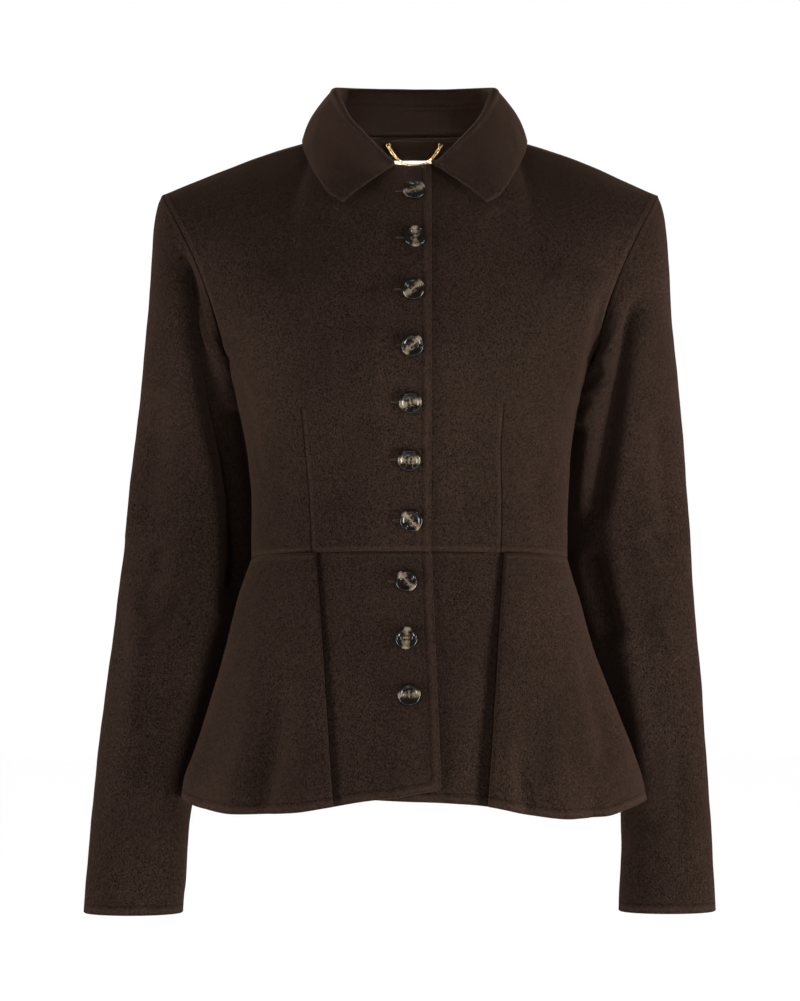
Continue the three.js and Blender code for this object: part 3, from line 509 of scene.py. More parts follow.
def make_wall(name, grid, marks, rims, wrap=False, thickness=CLOTH, middle=False):
    """rims: how far the edge rounds out at (bottom, top, left, right)."""
    rows, columns = grid.shape[:2]
    normal = surface_normals(grid, wrap)
    outer = grid + normal * (thickness / 2 if middle else 0)
    inner = outer - normal * thickness
    index = np.arange(rows * columns).reshape(rows, columns)
    count = rows * columns
    ring = (lambda a: np.roll(a, -1, axis=1)) if wrap else (lambda a: a[:, 1:])
    first = (lambda a: a) if wrap else (lambda a: a[:, :-1])
    a, b = first(index)[:-1], ring(index)[:-1]
    c, d = ring(index)[1:], first(index)[1:]
    faces = [np.stack([a, b, c, d], -1).reshape(-1, 4),
             np.stack([a, d, c, b], -1).reshape(-1, 4) + count]
    loops = []
    down = lambda j: (grid[0, j] - grid[1, j], rims[0])
    up = lambda j: (grid[-1, j] - grid[-2, j], rims[1])
    if wrap:
        loops.append([(0, j) + down(j) for j in range(columns)])
        loops.append([(rows - 1, j) + up(j) for j in range(columns)][::-1])
    else:
        loop = [(0, j) + down(j) for j in range(columns)]
        loop += [(i, columns - 1, grid[i, -1] - grid[i, -2], rims[3]) for i in range(1, rows - 1)]
        loop += [(rows - 1, j) + up(j) for j in range(columns - 1, -1, -1)]
        loop += [(i, 0, grid[i, 0] - grid[i, 1], rims[2]) for i in range(rows - 2, 0, -1)]
        loops.append(loop)
    extra, extra_from = [], []
    for loop in loops:
        start = 2 * count + len(extra)
        for i, j, way, reach in loop:
            way = way / max(np.linalg.norm(way), 1e-9)
            extra.append((outer[i, j] + inner[i, j]) / 2 + way * reach)
            extra_from.append(index[i, j])
        size = len(loop)
        for k in range(size):
            m = (k + 1) % size
            p, q = index[loop[k][0], loop[k][1]], index[loop[m][0], loop[m][1]]
            faces.append(np.array([[q, p, start + k, start + m],
                                   [start + m, start + k, p + count, q + count]]))
    vertices = np.concatenate([outer.reshape(-1, 3), inner.reshape(-1, 3), np.array(extra)]) / 1000
    faces = np.concatenate(faces)
    mesh = bpy.data.meshes.new(name)
    mesh.from_pydata(vertices.tolist(), [], faces.tolist())
    source = np.concatenate([np.arange(count), np.arange(count), np.array(extra_from)])
    for key in ("edge", "seam", "dart"):
        values = marks.get(key)
        values = np.full(count, FAR_OFF) if values is None else values.reshape(-1)
        layer = mesh.attributes.new(key, "FLOAT", "POINT")
        layer.data.foreach_set("value", values[source].astype(np.float32))
    across = np.linalg.norm(np.diff(grid, axis=1, prepend=grid[:, :1]), axis=-1).cumsum(axis=1)
    along = np.linalg.norm(np.diff(grid, axis=0, prepend=grid[:1]), axis=-1).cumsum(axis=0)
    flat = np.stack([across, along], -1).reshape(-1, 2)[source] / 1000
    uv = mesh.uv_layers.new(name="cloth")
    corners = np.empty(len(mesh.loops), np.int32)
    mesh.loops.foreach_get("vertex_index", corners)
    uv.data.foreach_set("uv", flat[corners].astype(np.float32).reshape(-1))
    mesh.shade_smooth()
    mesh.update()
    piece = bpy.data.objects.new(name, mesh)
    bpy.context.scene.collection.objects.link(piece)
    return piece


cloth_pieces = {}
print("wall builder ready")

# %% [markdown]
# ## Bodice fronts
# Each front runs from its side seam and armhole, over the shoulder, to an edge past the middle.
# The right one is lifted by one layer where it laps over the left. The dart is only drawn in: its
# cloth is inside the seam, and what shows is a thin line in a shallow valley.

# %% Bodice fronts


def body_marks(grid, t, top_seam):
    """Distances from seams, measured along rows and columns."""
    gaps_up = np.linalg.norm(np.diff(grid, axis=0), axis=-1)
    below = np.concatenate([np.zeros((1, grid.shape[1])), gaps_up.cumsum(axis=0)])
    above = below[-1] - below
    return below, np.where(top_seam[None, :], above, FAR_OFF)


def bodice_front(name, side, edge_x):
    levels = np.concatenate([places(0, ARMPIT_AT, GRID / 335)[:-1], places(ARMPIT_AT, 1, GRID / 335)])
    t = places(1, 0, GRID / 235)
    grid, beyond_count = [], int(abs(edge_x) / GRID) + 1
    for at in levels:
        row = body_point(True, side, t, at)
        sample = body_point(True, -side, np.linspace(0, 0.5, 60), at)
        wanted = np.linspace(0, abs(edge_x), beyond_count + 1)[1:]
        place = np.interp(wanted, np.abs(sample[:, 0]), np.linspace(0, 0.5, 60))
        row = np.concatenate([row, body_point(True, -side, place, at)])
        if side < 0:
            row[:, 1] -= lap_lift(row[:, 0]) * lap_growth(at)
        grid.append(row)
    grid = np.array(grid)
    shoulder = np.concatenate([t, np.zeros(beyond_count)]) >= NECK_SHARE
    below, above = body_marks(grid, t, shoulder)
    side_gap = np.linalg.norm(np.diff(grid, axis=1), axis=-1)
    from_side = np.concatenate([np.zeros((len(levels), 1)), side_gap.cumsum(axis=1)], axis=1)
    to_edge = from_side[:, -1:] - from_side
    seam = np.minimum(np.minimum(below, above), from_side)
    rims = (SEAM_RIM, SEAM_RIM, SEAM_RIM, EDGE_RIM)
    if side > 0:
        grid, seam, to_edge = grid[:, ::-1], seam[:, ::-1], to_edge[:, ::-1]
        rims = (SEAM_RIM, SEAM_RIM, EDGE_RIM, SEAM_RIM)
    dart, along = distance_to_line(grid[..., 0], grid[..., 2], DARTS[name])
    line = np.array(DARTS[name], float)
    inside = side * (np.interp(grid[..., 2], line[:, 1], line[:, 0]) - grid[..., 0])
    dart = np.where(grid[..., 2] > line[-1][1], FAR_OFF, dart) * np.sign(inside)
    marks = {"seam": seam, "edge": to_edge, "dart": dart}
    grid = fold_cloth(name, grid, seam)
    cloth_pieces[name] = make_wall(name, grid, marks, rims)
    return grid


right_grid = bodice_front("right_front", -1, RIGHT_EDGE_X)
left_grid = bodice_front("left_front", 1, LEFT_EDGE_X)
print("front grids", right_grid.shape, left_grid.shape)

# %% [markdown]
# ## Bodice back
# The back doesn't show in the photograph except inside the collar. It is one plain piece, with
# two soft folds from the armholes towards the waist, like the front's.

# %% Bodice back


def bodice_back():
    levels = np.concatenate([places(0, ARMPIT_AT, GRID / 365)[:-1], places(ARMPIT_AT, 1, GRID / 365)])
    half = places(1, 0, GRID / 235)
    t = np.concatenate([half, half[::-1][1:]])
    grid = np.array([np.concatenate([body_point(False, 1, half, at),
                                     body_point(False, -1, half[::-1][1:], at)]) for at in levels])
    below, above = body_marks(grid, t, t >= NECK_SHARE)
    gaps = np.linalg.norm(np.diff(grid, axis=1), axis=-1)
    from_left = np.concatenate([np.zeros((len(levels), 1)), gaps.cumsum(axis=1)], axis=1)
    seam = np.minimum.reduce([below, above, from_left, from_left[:, -1:] - from_left])
    grid = fold_cloth("back", grid, seam)
    cloth_pieces["back"] = make_wall("back", grid, {"seam": seam}, (SEAM_RIM,) * 4)
    return grid


back_grid = bodice_back()
print("back grid", back_grid.shape)

# %% [markdown]
# ## Peplum
# The peplum springs out from the waist seam and flares to the hem. Each front has one knife
# pleat: the side part folds over, goes back under itself and comes out again as the centre part,
# three layers of cloth where they overlap. The path below walks through those layers.

# %% Peplum fronts and back


def waist_z(front, t):
    centre = FRONT["z"][0] if front else BACK["z"][0]
    return lerp(centre, SIDE_SEAM["z"][0], t * t)


def peplum_outline(side, at, front):
    """Outline at one level, as a line to walk along from beyond the centre to the side."""
    t = np.linspace(-0.42, 1, 240)
    s = np.where(t < 0, -side, side)
    half = np.where(s < 0, column(PEPLUM, "left", at), column(PEPLUM, "right", at))
    centre_y = -column(PEPLUM, "front", at) if front else column(PEPLUM, "back", at)
    x, y = quarter(centre_y, half, SIDE_Y, 1.0, column(PEPLUM, "fullness", at), np.abs(t))
    line = np.stack([s * x, y], -1)
    length = np.concatenate([[0], np.hypot(*np.diff(line, axis=0).T).cumsum()])
    way = np.gradient(line, axis=0)
    way /= np.linalg.norm(way, axis=1, keepdims=True)
    normal = np.stack([side * way[:, 1], -side * way[:, 0]], -1)
    return line, length, normal, np.abs(t)


def pleat_path(side_length, centre_length, edge_length, depth, lift):
    """Distance from the pleat edge towards the side, and how far out, through all the layers."""
    r = LAYER_STEP / 2
    s = np.linspace(1, 0, 58) * side_length
    path = [np.stack([s, r * (1 - smooth(0, 60, s)) + lift * (1 - smooth(0, 45, s))], -1)]
    angle = np.radians(np.linspace(20, 160, 6))
    path.append(np.stack([-r * np.sin(angle), lift / 2 + (r + lift / 2) * np.cos(angle)], -1))
    path.append(np.stack([np.linspace(0, 1, 8) * depth, np.full(8, -r)], -1))
    path.append(np.stack([depth + r * np.sin(angle), -2 * r + r * np.cos(angle)], -1))
    path.append(np.stack([np.linspace(1, 0, 8) * depth, np.full(8, -3 * r)], -1))
    s = -np.linspace(0, 1, 27)[1:] * centre_length
    path.append(np.stack([s, -3 * r * (1 - smooth(6, 34, -s))], -1))
    s = -centre_length - np.linspace(0, 1, 8)[1:] * edge_length
    path.append(np.stack([s, np.zeros(7)], -1))
    return np.concatenate(path)


def peplum_front(name, side, hem, edge_top_x, edge_hem_x, open_by):
    levels = places(1, 0, GRID / 215)
    grid, plain, facing, edge = [], [], [], []
    for at in levels:
        line, length, normal, turn = peplum_outline(side, at, True)
        find = lambda x: np.interp(side * x, side * line[:, 0], length)
        pleat = find(side * lerp(PLEAT_TOP_X, PLEAT_HEM_X, at))
        centre, front = find(0), find(lerp(edge_top_x, edge_hem_x, at))
        depth = lerp(PLEAT_DEPTH_TOP, PLEAT_DEPTH_HEM, at)
        lift = open_by * smooth(0, 0.5, at)
        path = pleat_path(length[-1] - pleat, pleat - centre, centre - front, depth, lift)
        walk = pleat + path[:, 0]
        x, y = (np.interp(walk, length, line[:, k]) for k in (0, 1))
        nx, ny = (np.interp(walk, length, normal[:, k]) for k in (0, 1))
        out = path[:, 1] - CLOTH / 2 + (lap_lift(x) if side < 0 else 0)
        z = lerp(waist_z(True, np.interp(walk, length, turn)), column(hem, "z", x), at)
        z += TUCK * smooth(1.6, 3.0, -path[:, 1]) * smooth(0, 0.03, 0.03 - at)
        grid.append(points(x + nx * out, y + ny * out, z))
        plain.append(points(x, y, z))
        facing.append(points(nx, ny, 0))
        edge.append(walk - front)
    grid, plain, facing, edge = (np.array(a) for a in (grid, plain, facing, edge))
    below = np.abs(grid[..., 2] - grid[0, :, 2])
    above = np.abs(grid[..., 2] - grid[-1, :, 2])
    from_side = np.linalg.norm(np.diff(grid, axis=1), axis=-1).cumsum(axis=1)
    from_side = np.concatenate([np.zeros((len(levels), 1)), from_side], axis=1)
    seam = np.minimum(above, from_side)
    marks = {"seam": seam, "edge": np.minimum(below, edge)}
    grid = grid + facing * fold_shift(name, plain, facing, seam)
    rims = (EDGE_RIM, SEAM_RIM, SEAM_RIM, EDGE_RIM)
    if side > 0:
        grid = grid[:, ::-1]
        marks = {key: value[:, ::-1] for key, value in marks.items()}
        rims = (EDGE_RIM, SEAM_RIM, EDGE_RIM, SEAM_RIM)
    cloth_pieces[name] = make_wall(name, grid, marks, rims, middle=True)


def peplum_back():
    levels = places(1, 0, GRID / 215)
    half = places(1, 0, GRID / 260)
    t = np.concatenate([half, half[::-1][1:]])
    side = np.where(np.arange(len(t)) < len(half), 1, -1)
    grid = []
    for at in levels:
        half_x = np.where(side < 0, column(PEPLUM, "left", at), column(PEPLUM, "right", at))
        x, y = quarter(column(PEPLUM, "back", at), half_x, SIDE_Y, 1.0,
                       column(PEPLUM, "back_fullness", at), t)
        z = lerp(waist_z(False, t), column(HEM_BACK, "z", side * x), at)
        grid.append(points(side * x, y, z))
    grid = np.array(grid)
    below = np.abs(grid[..., 2] - grid[0, :, 2])
    gaps = np.linalg.norm(np.diff(grid, axis=1), axis=-1).cumsum(axis=1)
    from_left = np.concatenate([np.zeros((len(levels), 1)), gaps], axis=1)
    above = np.abs(grid[..., 2] - grid[-1, :, 2])
    seam = np.minimum.reduce([above, from_left, from_left[:, -1:] - from_left])
    grid = fold_cloth("back_peplum", grid, seam)
    rims = (EDGE_RIM, SEAM_RIM, SEAM_RIM, SEAM_RIM)
    cloth_pieces["back_peplum"] = make_wall("back_peplum", grid, {"seam": seam, "edge": below}, rims)


peplum_front("right_front_peplum", -1, HEM_RIGHT_FRONT, RIGHT_EDGE_X, RIGHT_HEM_EDGE_X, 0.6)
peplum_front("left_front_peplum", 1, HEM_LEFT_FRONT, LEFT_EDGE_X, LEFT_HEM_EDGE_X, 3.2)
peplum_back()
print("pieces so far:", sorted(cloth_pieces))

# %% [markdown]
# ## Sleeves
# A sleeve starts as the armhole's own loop and turns into an oval lower down. It hangs a little
# behind the body, so its inner side goes out of sight behind the waist, as in the photograph.

# %% Sleeves


def sleeve(name, side, rows):
    count = 92
    share = np.arange(count) / count
    angle = share * 2 * np.pi
    front = share <= 0.5
    turn = np.where(front, 1 - share * 2, share * 2 - 1)
    loop = armhole_point(1, turn, np.where(front, ARMHOLE_FRONT, ARMHOLE_BACK))
    loop += np.array([0.93, 0, -0.37]) * 0.15
    grid = []
    for at in places(rows["at"][-1], 0, 15 * GRID / 620):
        row = {key: float(column(rows, key, at)) for key in rows}
        middle = np.array([(row["out_x"] + row["in_x"]) / 2, row["mid_y"],
                           (row["out_z"] + row["in_z"]) / 2])
        reach = np.array([(row["out_x"] - row["in_x"]) / 2, 0, (row["out_z"] - row["in_z"]) / 2])
        oval = middle + reach * np.cos(angle)[:, None]
        oval[:, 1] -= row["half"] * np.sin(angle)
        grid.append((oval, middle, row["armhole"]))
    start = grid[-1][1]
    grid = np.array([lerp(oval, loop + middle - start, armhole) for oval, middle, armhole in grid])
    grid[..., 0] *= side
    if side > 0:
        grid = grid[:, ::-1]
    gaps = np.linalg.norm(np.diff(grid, axis=0), axis=-1)
    below = np.concatenate([np.zeros((1, count)), gaps.cumsum(axis=0)])
    seam = below[-1] - below
    grid = fold_cloth(name, grid, np.minimum(seam, below * 2 + 4), wrap=True)
    rims = (EDGE_RIM, SEAM_RIM, 0, 0)
    cloth_pieces[name] = make_wall(name, grid, {"seam": seam, "edge": below}, rims, wrap=True)


sleeve("right_sleeve", -1, RIGHT_SLEEVE)
sleeve("left_sleeve", 1, LEFT_SLEEVE)
print("sleeves", [len(cloth_pieces[n].data.vertices) for n in ("right_sleeve", "left_sleeve")])

# %% [markdown]
# ## Collar
# A shirt collar is cut in one with its stand. It rises from the neck seam, folds over a soft
# roll and comes down as two pointed leaves that stand a little off the fronts.

# %% Collar


def collar():
    half = places(9, 0, 9 * GRID / 190)
    grid = []
    for side, stations in ((-1, half), (1, half[::-1][1:])):
        for at in stations:
            row = {key: float(column(COLLAR, key, at)) for key in COLLAR}
            foot = neck_point(side, row["angle"])
            foot[2] += row["lift"]
            fold = np.array([side * row["roll_x"] + NECK_X, row["roll_y"], row["roll_z"] - 3])
            edge = np.array([side * row["edge_x"] + NECK_X, row["edge_y"], row["edge_z"]])
            a = math.radians(row["angle"])
            out = np.array([side * math.sin(a), -math.cos(a), 0])
            up = np.array([0, 0, 1.0])
            r = 2.6
            path = [lerp(foot, fold, s) for s in np.linspace(0, 1, 11)]
            path += [fold + out * r * (1 - math.cos(b)) + up * r * math.sin(b)
                     for b in np.radians(np.linspace(20, 160, 8))]
            start = fold + out * 2 * r
            path += [lerp(start, edge, s) + out * 4 * math.sin(math.pi * s)
                     for s in np.linspace(0, 1, 18)]
            grid.append(path)
    grid = np.array(grid)
    along = np.linalg.norm(np.diff(grid, axis=1), axis=-1).cumsum(axis=1)
    along = np.concatenate([np.zeros((len(grid), 1)), along], axis=1)
    to_edge = along[:, -1:] - along
    steps = np.linalg.norm(np.diff(grid[:, -1], axis=0), axis=-1)
    ends = np.concatenate([[0], steps.cumsum()])
    to_front = np.minimum(ends, ends[-1] - ends)[:, None] * np.ones_like(to_edge)
    grid = grid + surface_normals(grid) * (unevenness(grid) * 0.6)[..., None]
    stand = along[:, 10:11]
    marks = {"edge": np.minimum(to_edge, to_front) + 14, "seam": along,
             "dart": np.where((along < stand) & (np.abs(grid[..., 0] - NECK_X) < 58),
                              np.abs(along - stand + 10.7), FAR_OFF)}
    rims = (1.2, 1.2, SEAM_RIM, 1.2)
    cloth_pieces["collar"] = make_wall("collar", grid, marks, rims, thickness=3.0, middle=True)


collar()
print("collar points", len(cloth_pieces["collar"].data.vertices))

# %% [markdown]
# ## Buttons
# Ten polished horn buttons: a dished disc with a thick round rim, four holes and thread through
# them. Every button is turned its own way and the pale streak of the horn lies differently in
# each, so the streak's direction is kept in a map on the button itself. Under each lies its
# buttonhole, a thin closed loop of thread along the front.

# %% Buttons, their thread and the buttonholes


def new_object(name, vertices, faces, smooth_faces=True):
    mesh = bpy.data.meshes.new(name)
    mesh.from_pydata([tuple(v) for v in vertices], [], faces)
    if smooth_faces:
        mesh.shade_smooth()
    mesh.update()
    piece = bpy.data.objects.new(name, mesh)
    bpy.context.scene.collection.objects.link(piece)
    return piece


def lathe(name, profile, segments):
    """Turns a profile of radius and height round Z; it starts and ends on the axis."""
    inner = profile[1:-1]
    vertices = [(0, 0, profile[0][1]), (0, 0, profile[-1][1])]
    for r, h in inner:
        for k in range(segments):
            a = 2 * math.pi * k / segments
            vertices.append((r * math.cos(a), r * math.sin(a), h))
    ring = lambda i, k: 2 + i * segments + k % segments
    faces = []
    for k in range(segments):
        faces.append((0, ring(0, k + 1), ring(0, k)))
        faces.append((1, ring(len(inner) - 1, k), ring(len(inner) - 1, k + 1)))
        for i in range(len(inner) - 1):
            faces.append((ring(i, k), ring(i, k + 1), ring(i + 1, k + 1), ring(i + 1, k)))
    return new_object(name, vertices, faces)


def tube(name, line, radius, sides=8, closed=False):
    """Round thread along a line of points."""
    line = np.array(line, float)
    count = len(line)
    way = np.roll(line, -1, axis=0) - np.roll(line, 1, axis=0) if closed else np.gradient(line, axis=0)
    way /= np.linalg.norm(way, axis=1, keepdims=True)
    side = np.cross(way, [0.13, 0.91, 0.39])
    side /= np.linalg.norm(side, axis=1, keepdims=True)
    up = np.cross(way, side)
    angle = 2 * np.pi * np.arange(sides) / sides
    rings = (line[:, None] + radius * (side[:, None] * np.cos(angle)[None, :, None]
                                       + up[:, None] * np.sin(angle)[None, :, None]))
    faces = []
    for i in range(count if closed else count - 1):
        for k in range(sides):
            j, m = (i + 1) % count, (k + 1) % sides
            faces.append((i * sides + k, i * sides + m, j * sides + m, j * sides + k))
    if not closed:
        faces.append(tuple(range(sides))[::-1])
        faces.append(tuple((count - 1) * sides + k for k in range(sides)))
    return new_object(name, rings.reshape(-1, 3), faces)


def front_y(x, z):
    """Depth of the lapped front's outer face at a place seen from the front."""
    if z < FRONT["z"][0]:
        at = (FRONT["z"][0] - z) / (FRONT["z"][0] - float(column(HEM_RIGHT_FRONT, "z", x)))
        line = peplum_outline(-1, at, True)[0]
        order = np.argsort(line[:, 0])
        return float(np.interp(x, line[order, 0], line[order, 1]) - lap_lift(x))
    side = -1 if x < 0 else 1
    t = np.linspace(0, 0.5, 40)
    levels = np.linspace(0, 1, 60)
    rows = [body_point(True, side, t, at) for at in levels]
    heights = [np.interp(abs(x), np.abs(r[:, 0]), r[:, 2]) for r in rows]
    depths = [np.interp(abs(x), np.abs(r[:, 0]), r[:, 1]) for r in rows]
    growth = lap_growth(np.interp(z, heights, levels))
    return float(np.interp(z, heights, depths) - lap_lift(x) * growth)


def join(name, pieces):
    """Several meshes as one piece."""
    with bpy.context.temp_override(active_object=pieces[0], selected_editable_objects=pieces):
        bpy.ops.object.join()
    pieces[0].name = name
    return pieces[0]


PROFILE = [(0, -1.6), (6.6, -1.6), (7.9, -1.35), (8.8, -0.8), (9.4, -0.05), (9.6, 0.6), (9.5, 1.15),
           (9.15, 1.65), (8.6, 1.98), (8.0, 2.1), (7.4, 2.0), (6.8, 1.66), (6.2, 1.2), (5.6, 0.85),
           (4.6, 0.62), (3, 0.52), (0, 0.5)]
BUTTON_RADIUS, BUTTON_SEAT = 9.6, 2.45
HOLE_AT, HOLE_RADIUS = 2.3, 1.0
master = lathe("button_form", PROFILE, 64)
for k in range(4):
    a = math.radians(45 + 90 * k)
    bpy.ops.mesh.primitive_cylinder_add(
        vertices=20, radius=HOLE_RADIUS, depth=8,
        location=(HOLE_AT * math.cos(a), HOLE_AT * math.sin(a), 0))
    drill = bpy.context.object
    cut = master.modifiers.new("hole", "BOOLEAN")
    cut.operation, cut.object = "DIFFERENCE", drill
    drill.hide_render = True
graph = bpy.context.evaluated_depsgraph_get()
button_mesh = bpy.data.meshes.new_from_object(master.evaluated_get(graph))
for piece in [o for o in bpy.context.scene.objects if o.name.startswith(("Cylinder", "button_form"))]:
    bpy.data.objects.remove(piece)
print("button faces", len(button_mesh.polygons))

horn_pieces, thread_pieces, slit_pieces = [], [], []
for i in range(len(BUTTONS["x"])):
    x, z, turn, streak = (float(BUTTONS[key][i]) for key in ("x", "z", "turn", "streak"))
    y = front_y(x, z)
    lean = math.atan((front_y(x, z + 8) - front_y(x, z - 8)) / 16)
    facing = Matrix.Rotation(-lean, 4, "X") @ Matrix.Rotation(math.radians(90), 4, "X")
    seat = Matrix.Translation((x, y, z)) @ facing @ Matrix.Translation((0, 0, BUTTON_SEAT))
    turned = seat @ Matrix.Rotation(math.radians(turn), 4, "Z")
    mesh = button_mesh.copy()
    name = f"button_{i + 1:02d}"
    streak_map = mesh.uv_layers.new(name="streak")
    a = math.radians(streak - turn)
    for loop in mesh.loops:
        v = mesh.vertices[loop.vertex_index].co
        streak_map.data[loop.index].uv = (
            (v.x * math.cos(a) + v.y * math.sin(a)) / BUTTON_RADIUS + 3.7 * i,
            (v.y * math.cos(a) - v.x * math.sin(a)) / BUTTON_RADIUS)
    mesh.transform(Matrix.Scale(0.001, 4) @ turned)
    mesh.shade_smooth()
    mesh.set_sharp_from_angle(angle=math.radians(40))
    button = bpy.data.objects.new(name, mesh)
    bpy.context.scene.collection.objects.link(button)
    horn_pieces.append(button)
    bars = []
    for sign in (-1, 1):
        c = HOLE_AT * 0.707
        for lay in (-0.3, 0.3):
            over = sign * c + lay
            line = [(-c, over, -3.2), (-c, over, 0.3), (-c * 0.6, over, 0.85),
                    (c * 0.6, over, 0.85), (c, over, 0.3), (c, over, -3.2)]
            bars.append(tube(f"thread_{i}_{sign}_{lay}", line, 0.3, 6))
    shank = lathe(f"shank_{i}", [(0, -2.6), (1.5, -2.6), (1.3, -2.0), (1.5, -1.5), (0, -1.5)], 16)
    thread = join(f"{name}_thread", bars + [shank])
    thread.data.transform(Matrix.Scale(0.001, 4) @ turned)
    thread_pieces.append(thread)
    loop = []
    for k in range(28):
        a = 2 * math.pi * k / 28
        lx = -5.5 + 9.5 * math.cos(a) + 0.9 * np.sign(math.cos(a)) * abs(math.cos(a))
        lz = 0.6 * np.sign(math.sin(a)) * abs(math.sin(a)) ** 0.35
        loop.append((x + lx, front_y(x + lx, z + lz) - 0.12, z + lz))
    hole = tube(f"buttonhole_{i + 1:02d}", np.array(loop) / 1000, 0.00034, 8, closed=True)
    slit_pieces.append(hole)
print("buttons", len(horn_pieces), "threads", len(thread_pieces))

# %% [markdown]
# ## Label and hanging chain
# Behind the neck there is a white tape label, bare, and a fine gold chain that the jacket hangs
# by. The chain is real links, each turned a quarter from its neighbour, sewn down by a ring at
# each end.

# %% Label and chain


def inside_back(x, at, depth):
    """Point at a given depth inside the back's outer face."""
    side = -1 if x < 0 else 1
    t = np.linspace(0, 0.6, 60)
    row, lower = body_point(False, side, t, at), body_point(False, side, t, at - 0.01)
    here = np.array([np.interp(abs(x), np.abs(row[:, 0]), row[:, k]) for k in range(3)])
    here[0] = x
    below = np.array([np.interp(abs(x), np.abs(lower[:, 0]), lower[:, k]) for k in range(3)])
    below[0] = x
    beside = np.array([np.interp(abs(x) + 2, np.abs(row[:, 0]), row[:, k]) for k in range(3)])
    beside[0] = x + 2 * side
    normal = np.cross(beside - here, here - below)
    normal *= np.sign(normal[1]) / np.linalg.norm(normal)
    return here - normal * depth


LABEL_WIDTH, LABEL_LEFT = 52.0, NECK_X - 26
LABEL_LOW_AT, LABEL_TALL_AT, LABEL_STITCH_AT = 0.872, 0.082, 0.9505
BEHIND_CLOTH, BEHIND_LABEL = CLOTH + 1.3, CLOTH + 2.05
CHAIN_HALF, CHAIN_AT = 23.5, 0.985
label_grid = np.array([[inside_back(LABEL_LEFT + LABEL_WIDTH * s, LABEL_LOW_AT + LABEL_TALL_AT * up,
                                    BEHIND_CLOTH)
                        for s in np.linspace(0, 1, 27)] for up in np.linspace(0, 1, 13)])
label = make_wall("neck_label", label_grid, {}, (0.1,) * 4, thickness=-0.5)
label_stitch = []
for s in np.linspace(0.03, 0.97, 19):
    a = inside_back(LABEL_LEFT + LABEL_WIDTH * s, LABEL_STITCH_AT, BEHIND_LABEL) / 1000
    b = inside_back(LABEL_LEFT + LABEL_WIDTH * (s + 0.03), LABEL_STITCH_AT, BEHIND_LABEL) / 1000
    label_stitch.append(tube("stitch", [a, (a + b) / 2, b], 0.0002, 6))
label_thread = join("label_stitches", label_stitch)

CHAIN_ENDS = [inside_back(NECK_X + s * CHAIN_HALF, CHAIN_AT, BEHIND_CLOTH) for s in (-1, 1)]


def chain_point(s):
    sag = 1 - abs(s * 2 - 1) ** 2.4
    return lerp(CHAIN_ENDS[0], CHAIN_ENDS[1], s) - np.array([0, 9, 17.5]) * sag


chain_line = np.array([chain_point(s) for s in np.linspace(0, 1, 400)])
chain_length = np.concatenate([[0], np.linalg.norm(np.diff(chain_line, axis=0), axis=1).cumsum()])
LINK = 2.9
links = []
for k in range(int(chain_length[-1] / LINK)):
    here = (k + 0.5) * LINK
    centre = np.array([np.interp(here, chain_length, chain_line[:, c]) for c in range(3)])
    ahead = np.array([np.interp(here + 0.4, chain_length, chain_line[:, c]) for c in range(3)])
    way = (ahead - centre) / np.linalg.norm(ahead - centre)
    across = np.cross(way, [0, 1, 0])
    across /= np.linalg.norm(across)
    face = np.cross(across, way)
    twist = math.radians(45 + 90 * (k % 2) + 17 * math.sin(k * 2.1))
    wide = across * math.cos(twist) + face * math.sin(twist)
    oval = [centre + way * 2.0 * math.cos(a) + wide * 1.3 * math.sin(a)
            for a in np.linspace(0, 2 * np.pi, 17)[:-1]]
    links.append(tube(f"link_{k}", np.array(oval) / 1000, 0.00045, 6, closed=True))
for s, point in zip((-1, 1), CHAIN_ENDS):
    ring = [point + np.array([1.7 * math.cos(a), -0.2, 1.7 * math.sin(a) + 1.0])
            for a in np.linspace(0, 2 * np.pi, 21)[:-1]]
    links.append(tube(f"ring_{s}", np.array(ring) / 1000, 0.0004, 6, closed=True))
chain = join("hanger_chain_links", links)
print("links", len(links), "label points", label_grid.shape)

# %% [markdown]
# ## Shared surface effects
# Each effect is a small group with named inputs: fine fibres lying one way, slow cloudiness,
# a mark along a line, and the streaks in horn. The wool, the label and the thread all use the
# same fibres at their own size.

# %% Shader node groups


def new_group(name, inputs, outputs):
    tree = bpy.data.node_groups.new(name, "ShaderNodeTree")
    for label_text, kind, value in inputs:
        socket = tree.interface.new_socket(label_text, in_out="INPUT", socket_type=kind)
        if value is not None:
            socket.default_value = value
    for label_text, kind in outputs:
        tree.interface.new_socket(label_text, in_out="OUTPUT", socket_type=kind)
    return tree, tree.nodes.new("NodeGroupInput"), tree.nodes.new("NodeGroupOutput")


def add(tree, kind, inputs=None, **settings):
    """Adds a node, sets it up, and fills its inputs with values or links."""
    node = tree.nodes.new(kind)
    for key, value in settings.items():
        setattr(node, key, value)
    for key, value in (inputs or {}).items():
        if isinstance(value, bpy.types.NodeSocket):
            tree.links.new(value, node.inputs[key])
        else:
            node.inputs[key].default_value = value
    return node


def use(tree, group, **inputs):
    node = tree.nodes.new("ShaderNodeGroup")
    node.node_tree = group
    for key, value in inputs.items():
        key = key.replace("_", " ")
        if isinstance(value, bpy.types.NodeSocket):
            tree.links.new(value, node.inputs[key])
        else:
            node.inputs[key].default_value = value
    return node


def math_node(tree, operation, a, b=0.0, c=0.0):
    return add(tree, "ShaderNodeMath", {0: a, 1: b, 2: c}, operation=operation).outputs[0]


